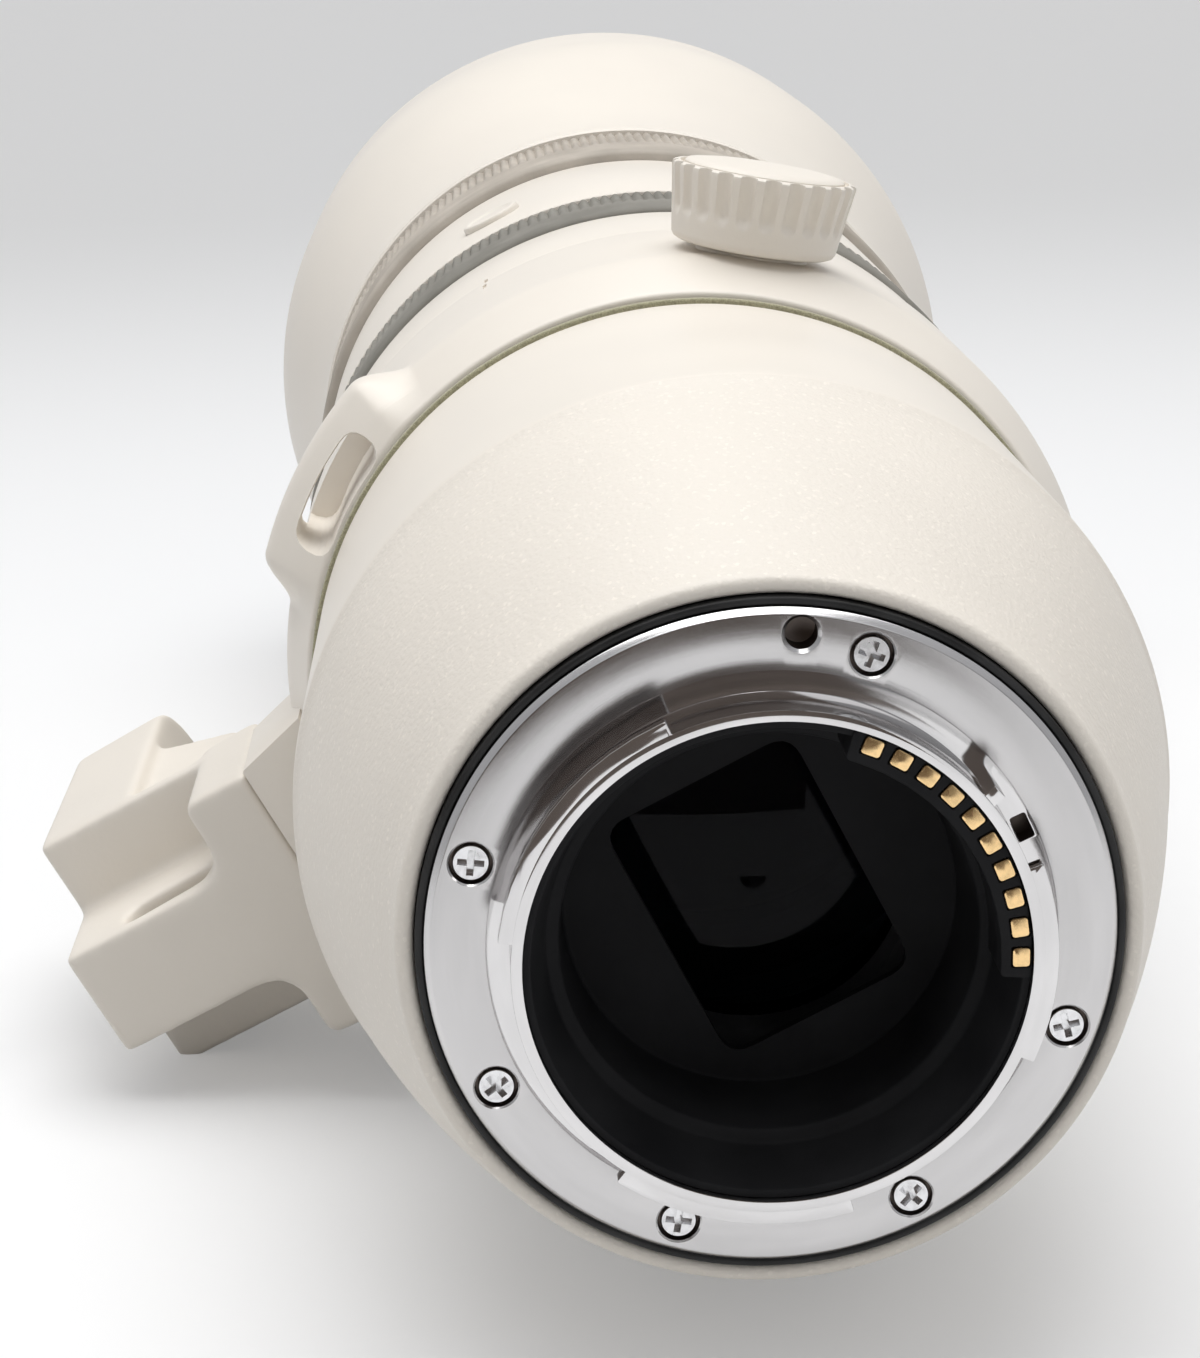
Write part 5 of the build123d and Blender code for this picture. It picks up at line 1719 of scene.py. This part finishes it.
@dataclass
class Barrels:
    """Fixed barrels between the rings, with the switch panel and the hold buttons."""

    finishes: Finishes
    panel_radius: float = 46.8
    panel_back: float = 116.9
    panel_front: float = 138.0
    button_radius: float = 47.4
    button_back: float = 157.7
    button_front: float = 199.2
    tube_radius: float = 38.0
    wall: float = 2.2
    panel_turn: float = 270.0
    panel_seat: float = 46.6
    panel_length: float = 17.0
    panel_width: float = 34.0
    panel_thickness: float = 1.4
    pad_border: float = 1.4
    switch_slot: Triple = (8.0, 3.0, 0.5)
    switch_pitch: float = 8.0
    switch_count: int = 4
    hold_turns: tuple[float, ...] = (90.0, 180.0, 270.0)
    hold_axial: float = 172.7
    hold_radius: float = 4.2
    hold_proud: float = 0.8
    hold_pocket: float = 3.5
    hold_wall: float = 2.1

    def build(self) -> None:
        """Make both barrels and the switch plate."""
        self.panel_barrel()
        self.switch_plate()
        self.button_barrel()
        self.hold_buttons()

    @property
    def panel_place(self) -> Matrix:
        """Placement of the switch panel."""
        return facing(Direction.BARREL.value + self.panel_turn,
                      (self.panel_back + self.panel_front) / 2)

    def skin(self, name: str, radius: float, back: float, front: float) -> bpy.types.Object:
        """Hollow barrel with softly broken edges.

        Args:
            name: The piece's name.
            radius: Its outer radius, in millimetres.
            back: Axial place of its rear face.
            front: Axial place of its front face.

        Returns:
            The barrel.
        """
        inner = radius - self.wall
        return lathe(name, rounded([
            (self.tube_radius, back, 0.0), (radius, back, 0.35), (radius, front, 0.35),
            (self.tube_radius, front, 0.0), (self.tube_radius, front - self.wall, 0.0),
            (inner, front - self.wall, 0.3), (inner, back + self.wall, 0.3),
            (self.tube_radius, back + self.wall, 0.0)], 3), 288)

    def panel_barrel(self) -> None:
        """Barrel with the flat pad that carries the switches."""
        body = self.skin("switch_barrel", self.panel_radius, self.panel_back, self.panel_front)
        place, seat, border = self.panel_place, self.panel_seat, self.pad_border
        length, width = self.panel_length, self.panel_width
        pad = soften(prism("pad", box(length + border, width + border, 2.5), seat - 2.8, seat,
                           place), 0.2)
        combine(body, [pad], Cut.ADD)
        room = prism("room", box(length, width, 2.2), seat, seat + self.panel_thickness + 2, place)
        well = prism("well", box(length - 2 * border, width - 2 * border), seat - 1.3, seat + 0.5,
                     place)
        mark = index_mark(self.panel_radius, self.panel_back + 3.0)
        combine(body, [room, well, mark], Cut.REMOVE)
        stand_for(body, Body.BARREL, "panel_barrel", finish=self.finishes.cream_smooth)

    def switch_plate(self) -> None:
        """Black plate with a slot for each switch."""
        place, seat = self.panel_place, self.panel_seat
        plate = soften(prism("switch_plate", box(self.panel_length - 0.6, self.panel_width - 0.6,
                                                 2.5), seat, seat + self.panel_thickness, place),
                       0.25)
        first = -self.switch_pitch * (self.switch_count - 1) / 2
        slots = [prism("slot", [(along, across + first + self.switch_pitch * index)
                                for along, across in box(*self.switch_slot)],
                       seat - 1, seat + 3, place) for index in range(self.switch_count)]
        combine(plate, slots, Cut.REMOVE)
        stand_for(plate, Body.BARREL, "switch_panel", finish=self.finishes.black_plastic)

    def button_barrel(self) -> None:
        """Barrel with a countersunk pocket round each hold button."""
        body = self.skin("button_barrel_skin", self.button_radius, self.button_back,
                         self.button_front)
        floor = self.button_radius + self.hold_proud - self.hold_pocket
        for turn in self.hold_turns:
            place = facing(Direction.BARREL.value + turn, self.hold_axial)
            cup = prism("cup", circle(self.hold_radius + self.hold_wall), self.tube_radius + 1,
                        self.button_radius - 0.9, place)
            pocket = prism("pocket", circle(self.hold_radius + 0.06), floor - 0.3,
                           self.button_radius + 2, place)
            combine(body, [cup], Cut.ADD)
            combine(body, [pocket], Cut.REMOVE)
        stand_for(body, Body.BARREL, "button_barrel", finish=self.finishes.cream_smooth)

    def hold_buttons(self) -> None:
        """Three rubber buttons with dished tops."""
        top = self.button_radius + self.hold_proud
        radius = self.hold_radius
        for number, turn in enumerate(self.hold_turns, start=1):
            button = lathe("focus_hold_button_" + str(number), rounded([
                (0, top - 2.6, 0), (radius, top - 2.6, 0.1), (radius, top - 0.1, 0.4),
                (radius - 0.7, top, 0.2), (radius - 1.2, top - 0.22, 0.3),
                (0, top - 0.3, 0)], 3), 64)
            point_outwards(button, Direction.BARREL.value + turn, self.hold_axial)
            dress(button, self.finishes.cream_cast)
            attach(button, "button_" + str(number))
            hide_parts("hold_button_" + str(number))


# Front of the lens
@dataclass
class FrontBarrel:
    """Flared front barrel, hood mount, filter ring and front lens."""

    finishes: Finishes
    neck_radius: float = 49.4
    back: float = 230.3
    radius: float = 59.6
    flare_end: float = 288.0
    flare_ease: float = 0.78
    rim_back: float = 318.0
    wall: float = 2.4
    step: float = 1.2
    seat: float = 40.7
    hood_radius: float = 57.3
    hood_front: float = 338.0
    ridges: int = 12
    groove_depth: float = 1.0
    groove_width: float = 2.2
    groove_from_front: float = 5.0
    entries: int = 3
    entry_span: float = 16.0
    filter_outer: float = 56.6
    thread_radius: float = 52.5
    filter_front: float = 346.0
    thread_length: float = 5.0
    filter_lip: float = 50.5
    thread_pitch: float = 0.75
    lens_radius: float = 51.0
    lens_back: float = 302.0
    lens_front: float = 310.0
    lens_rise: float = 8.0
    lens_sink: float = 4.0

    def build(self) -> None:
        """Make every piece of the front."""
        self.barrel()
        self.hood_mount()
        self.filter_ring()
        self.front_lens()

    def flare(self, steps: int = 26) -> list[Point]:
        """Outside of the flare: it leaves the neck slowly and meets the drum smoothly.

        Args:
            steps: Number of edges along it.

        Returns:
            Its (radius, axial) points.
        """
        points = []
        for step in range(steps + 1):
            share = step / steps
            ease = share * share * (3 - 2 * share)
            blend = self.flare_ease * ease + (1 - self.flare_ease) * share
            points.append((self.neck_radius + (self.radius - self.neck_radius) * blend,
                           self.back + 0.4 + (self.flare_end - self.back - 0.4) * share))
        return points

    def barrel(self) -> None:
        """Cream barrel from the zoom ring to the front rim."""
        inner = self.radius - self.wall
        neck = self.neck_radius - self.wall
        profile = ([(self.seat, self.back), (self.neck_radius - 0.35, self.back)] + self.flare()
                   + [(self.radius, self.rim_back - self.step - 0.3),
                      (self.radius - 0.15, self.rim_back - self.step + 0.2),
                      (self.radius - self.step + 0.1, self.rim_back),
                      (inner, self.rim_back), (inner, self.flare_end),
                      (neck, self.back + self.wall), (self.seat, self.back + self.wall)])
        body = lathe("front_barrel_skin", profile, 320)
        stand_for(body, Body.BARREL, "front_barrel", finish=self.finishes.cream_smooth)

    def hood_mount(self) -> None:
        """Black ring with the hood's groove and its three entries."""
        inner = self.filter_outer - 2 * self.wall
        groove_front = self.hood_front - self.groove_from_front
        groove_back = groove_front - self.groove_width
        floor = self.hood_radius - self.groove_depth
        ridges: list[Point] = []
        for index in range(self.ridges):
            low = self.hood_front - 1 - (self.hood_front - self.rim_back - 2) * index / self.ridges
            ridges += [(inner, low), (inner + 0.5, low - 0.8)]
        body = lathe("hood_mount_ring", [
            (inner, self.rim_back + 0.02), (self.hood_radius, self.rim_back + 0.02),
            (self.hood_radius, groove_back), (floor, groove_back), (floor, groove_front),
            (self.hood_radius, groove_front), (self.hood_radius, self.hood_front - 0.3),
            (self.hood_radius - 0.3, self.hood_front), (inner, self.hood_front)] + ridges, 288)
        half = self.entry_span / 2
        combine(body, [section("entry", arc_band(floor, self.hood_radius + 2, half, 0.3),
                               groove_front - 0.01, self.hood_front + 1,
                               index * 360 / self.entries + half)
                       for index in range(self.entries)], Cut.REMOVE)
        stand_for(body, Body.BARREL, "hood_mount", finish=self.finishes.black_metal)

    def filter_ring(self) -> None:
        """Black front rim with the filter's thread."""
        back = self.filter_front - self.thread_length
        thread: list[Point] = []
        for index in range(int(self.thread_length / self.thread_pitch)):
            high = self.filter_front - 0.4 - self.thread_pitch * index
            thread += [(self.thread_radius, high), (self.thread_radius + 0.4,
                                                    high - self.thread_pitch / 2)]
        body = lathe("filter_thread_ring", [
            (self.filter_lip, self.hood_front), (self.filter_outer, self.hood_front),
            (self.filter_outer, self.filter_front - 0.5),
            (self.filter_outer - 0.5, self.filter_front),
            (self.thread_radius + 0.3, self.filter_front)] + thread + [
            (self.thread_radius, back), (self.filter_lip + 1, back),
            (self.filter_lip, back - 1)], 288)
        stand_for(body, Body.BARREL, "filter_ring", finish=self.finishes.black_plastic)

    def front_lens(self) -> None:
        """Large front element with a coated, rising front face."""
        clear = self.lens_radius - 1.2
        face = [(clear * step / 20, self.lens_front + self.lens_rise * (1 - (step / 20) ** 2))
                for step in range(21)]
        rear = [(clear * step / 12, self.lens_back + self.lens_sink * (1 - (step / 12) ** 2))
                for step in range(12, -1, -1)]
        body = lathe("front_element", face + [(self.lens_radius - 0.02, self.lens_front),
                                              (self.lens_radius - 0.02, self.lens_back)] + rear,
                     192)
        stand_for(body, Body.BARREL, "front_lens", finish=self.finishes.front_glass)


@dataclass
class HiddenParts:
    """Inner pieces whose CAD solids show as they are, each with its own finish."""

    finishes: Finishes
    frame: dict

    def build(self) -> None:
        """Dress each CAD node."""
        chosen = {
            self.finishes.machined: ("collar_bearing", "focus_sleeve", "zoom_sleeve", "cam_sleeve",
                                     "stabiliser_yoke", "guide_rods", "lock_shaft",
                                     "foot_screws"),
            self.finishes.black_metal: ("mount_base", "main_tube", "front_frame", "front_cell",
                                        "rear_cell", "stabiliser_frame", "stabiliser_cell",
                                        "focus_cell", "rod_carriers", "zoom_cell"),
            self.finishes.black_plastic: ("clamp_shoe", "focus_motors"),
            self.finishes.inner_glass: ("rear_lens", "stabiliser_lens", "focus_lens",
                                        "zoom_lens"),
            self.finishes.board: ("circuit_board",),
            self.finishes.grey_plastic: ("slide_switch_1", "slide_switch_2", "slide_switch_3",
                                         "slide_switch_4"),
        }
        for material, nodes in chosen.items():
            for node in nodes:
                for slot in self.frame["nodes"][node].material_slots:
                    slot.material = material
                LOG.info("%s keeps its solid", node)


# Studio
@dataclass
class Studio:
    """Pale floor, soft lights and the camera at the photograph's place."""

    camera_place: Triple = (-25.1, -227.28, 88.83)
    camera_right: Triple = (0.999, -0.045, 0.0)
    camera_down: Triple = (-0.0123, -0.2736, -0.9618)
    focal_length: float = 75.29
    floor_normal: Triple = (-0.031, 0.042, 0.9986)
    floor_depth: float = 47.45
    floor_near: float = -1500.0
    floor_far: float = 1500.0
    floor_half: float = 2500.0
    sweep: float = 900.0
    wall_top: float = 2600.0
    floor_lift: float = 0.23
    wall_lift: float = 0.35
    floor_tint: Color = (0.68, 0.68, 0.68)
    wall_tint: Color = (0.62, 0.615, 0.605)
    fade_near: float = 0.4
    fade_far: float = 2.2
    card_axial: float = -236.0
    card_sides: Point = (-420.0, 66.0)
    card_levels: Point = (-52.0, 420.0)
    card_tint: Color = (0.13, 0.105, 0.09)
    sky_tint: Color = (0.96, 0.97, 1.0)
    sky_slope: Triple = (0.0, 0.2, 0.16)
    sky_level: float = 0.46

    def build(self) -> None:
        """Make the camera, the floor and the lights."""
        self.camera()
        self.floor()
        self.dark_card()
        self.lights()
        bpy.context.scene.view_settings.view_transform = "Standard"

    def camera(self) -> None:
        """Camera at the photograph's place, with its field of view."""
        data = bpy.data.cameras.new("photo_camera")
        data.lens = self.focal_length
        data.sensor_width = 36.0
        data.clip_start = 0.01
        data.clip_end = 50.0
        item = bpy.data.objects.new("photo_camera", data)
        right = Vector(self.camera_right).normalized()
        up = -Vector(self.camera_down).normalized()
        back = right.cross(up).normalized()
        up = back.cross(right)
        item.matrix_world = Matrix.Translation(Vector(self.camera_place) * MM) @ Matrix(
            (right, up, back)).transposed().to_4x4()
        bpy.context.scene.collection.objects.link(item)
        bpy.context.scene.camera = item

    def floor(self) -> None:
        """Pale floor that the lens rests on; far away it curves up into the backdrop."""
        normal = Vector(self.floor_normal).normalized()
        across = Vector((1, 0, 0))
        along = normal.cross(across).normalized()
        across = along.cross(normal)
        path = [(self.floor_near, 0.0)] + [
            (self.floor_far + self.sweep * math.sin(turn), self.sweep * (1 - math.cos(turn)))
            for turn in [math.pi / 2 * step / 24 for step in range(25)]] + [
            (self.floor_far + self.sweep, self.wall_top)]
        work = bmesh.new()
        rows = [[work.verts.new((-normal * self.floor_depth + across * side + along * reach
                                 + normal * height) * MM)
                 for side in (-self.floor_half, self.floor_half)] for reach, height in path]
        for near, far in zip(rows, rows[1:]):
            work.faces.new((near[0], near[1], far[1], far[0]))
        floor = new_object("pale_floor", work)
        graph = Graph("pale_floor", self.floor_tint, 0.6)
        distance = graph.add("VectorMath", Vector=graph.place())
        distance.operation = "LENGTH"
        share, lift = [graph.ramp(distance.outputs["Value"], self.fade_near, self.fade_far, *ends)
                       for ends in ((0.0, 1.0), (self.floor_lift, self.wall_lift))]
        graph.tint(share, self.floor_tint, self.wall_tint)
        graph.set("Specular IOR Level", 0.2)
        rays = graph.add("LightPath").outputs
        seen = graph.math("MAXIMUM", rays["Is Camera Ray"], graph.math(
            "MAXIMUM", rays["Is Glossy Ray"], rays["Is Transmission Ray"]))
        graph.set("Emission Color", (1.0, 1.0, 1.0, 1.0))
        graph.set("Emission Strength", graph.times(seen, lift))
        dress(floor, graph.material)

    def dark_card(self) -> None:
        """Dark card behind the camera that shows only as a reflection in the metal."""
        work = bmesh.new()
        (left, right), (low, high) = self.card_sides, self.card_levels
        corners = [work.verts.new(Vector((x, self.card_axial, z)) * MM)
                   for x, z in ((left, low), (right, low), (right, high), (left, high))]
        work.faces.new(corners)
        card = new_object("dark_card", work)
        for flag in ("camera", "diffuse", "transmission", "volume_scatter", "shadow"):
            setattr(card, "visible_" + flag, False)
        dress(card, Graph("dark_card", self.card_tint, 0.9).material)

    def lights(self) -> None:
        """Soft light from above and behind the camera, over a pale world."""
        world = bpy.data.worlds.new("studio_world")
        bpy.context.scene.world = world
        world.use_nodes = True
        sky = Nodes(world.node_tree)
        background = sky.tree.nodes["Background"]
        background.inputs[0].default_value = (*self.sky_tint, 1.0)
        way = sky.tree.nodes.new("ShaderNodeTexCoord")
        slope = sky.tree.nodes.new("ShaderNodeVectorMath")
        slope.operation = "DOT_PRODUCT"
        feed(sky.tree, slope.inputs[0], way.outputs["Generated"])
        feed(sky.tree, slope.inputs[1], self.sky_slope)
        feed(sky.tree, background.inputs[1], sky.math("ADD", slope.outputs["Value"],
                                                      self.sky_level))
        self.area("top_light", (-60, 150, 900), (0, 100, 0), 900, 8.0)
        self.area("camera_light", (350, -700, 700), (0, 0, 0), 500, 0.45)

    def area(self, name: str, place: Sequence[float], aim: Sequence[float], size: float,
             power: float) -> None:
        """Add a square area light.

        Args:
            name: The light's name.
            place: Where it hangs, in millimetres.
            aim: What it faces, in millimetres.
            size: Length of its side, in millimetres.
            power: Its power, in watts.
        """
        data = bpy.data.lights.new(name, "AREA")
        data.size = size * MM
        data.energy = power
        item = bpy.data.objects.new(name, data)
        item.location = Vector(place) * MM
        item.rotation_mode = "QUATERNION"
        item.rotation_quaternion = (Vector(aim) - Vector(place)).to_track_quat("-Z", "Y")
        bpy.context.scene.collection.objects.link(item)


def main() -> None:
    """Build the lens over its frame."""
    logging.basicConfig(level=logging.INFO, format="%(name)s: %(message)s")
    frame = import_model()
    Studio().build()
    finishes = Finishes()
    trees = Trees.make()
    BayonetMount(finishes, trees).build()
    RearShell(finishes).build()
    TripodCollar(finishes).build()
    LockKnob(finishes).build()
    Barrels(finishes).build()
    # The focus grip wears the darker rubber copy, whose colour holds painted shade.
    RibbedRing(finishes.focus_rubber, trees, "focus_grip_rubber", "focus_grip",
               Body.FOCUS_RING, 47.4, 138.3, 157.4, 204).build()
    RibbedRing(finishes.zoom_rubber, trees, "zoom_grip_rubber", "zoom_grip",
               Body.ZOOM_RING, 48.8, 199.5, 230.0, 208).build()
    FrontBarrel(finishes).build()
    HiddenParts(finishes, frame).build()


if __name__ == "__main__":
    main()
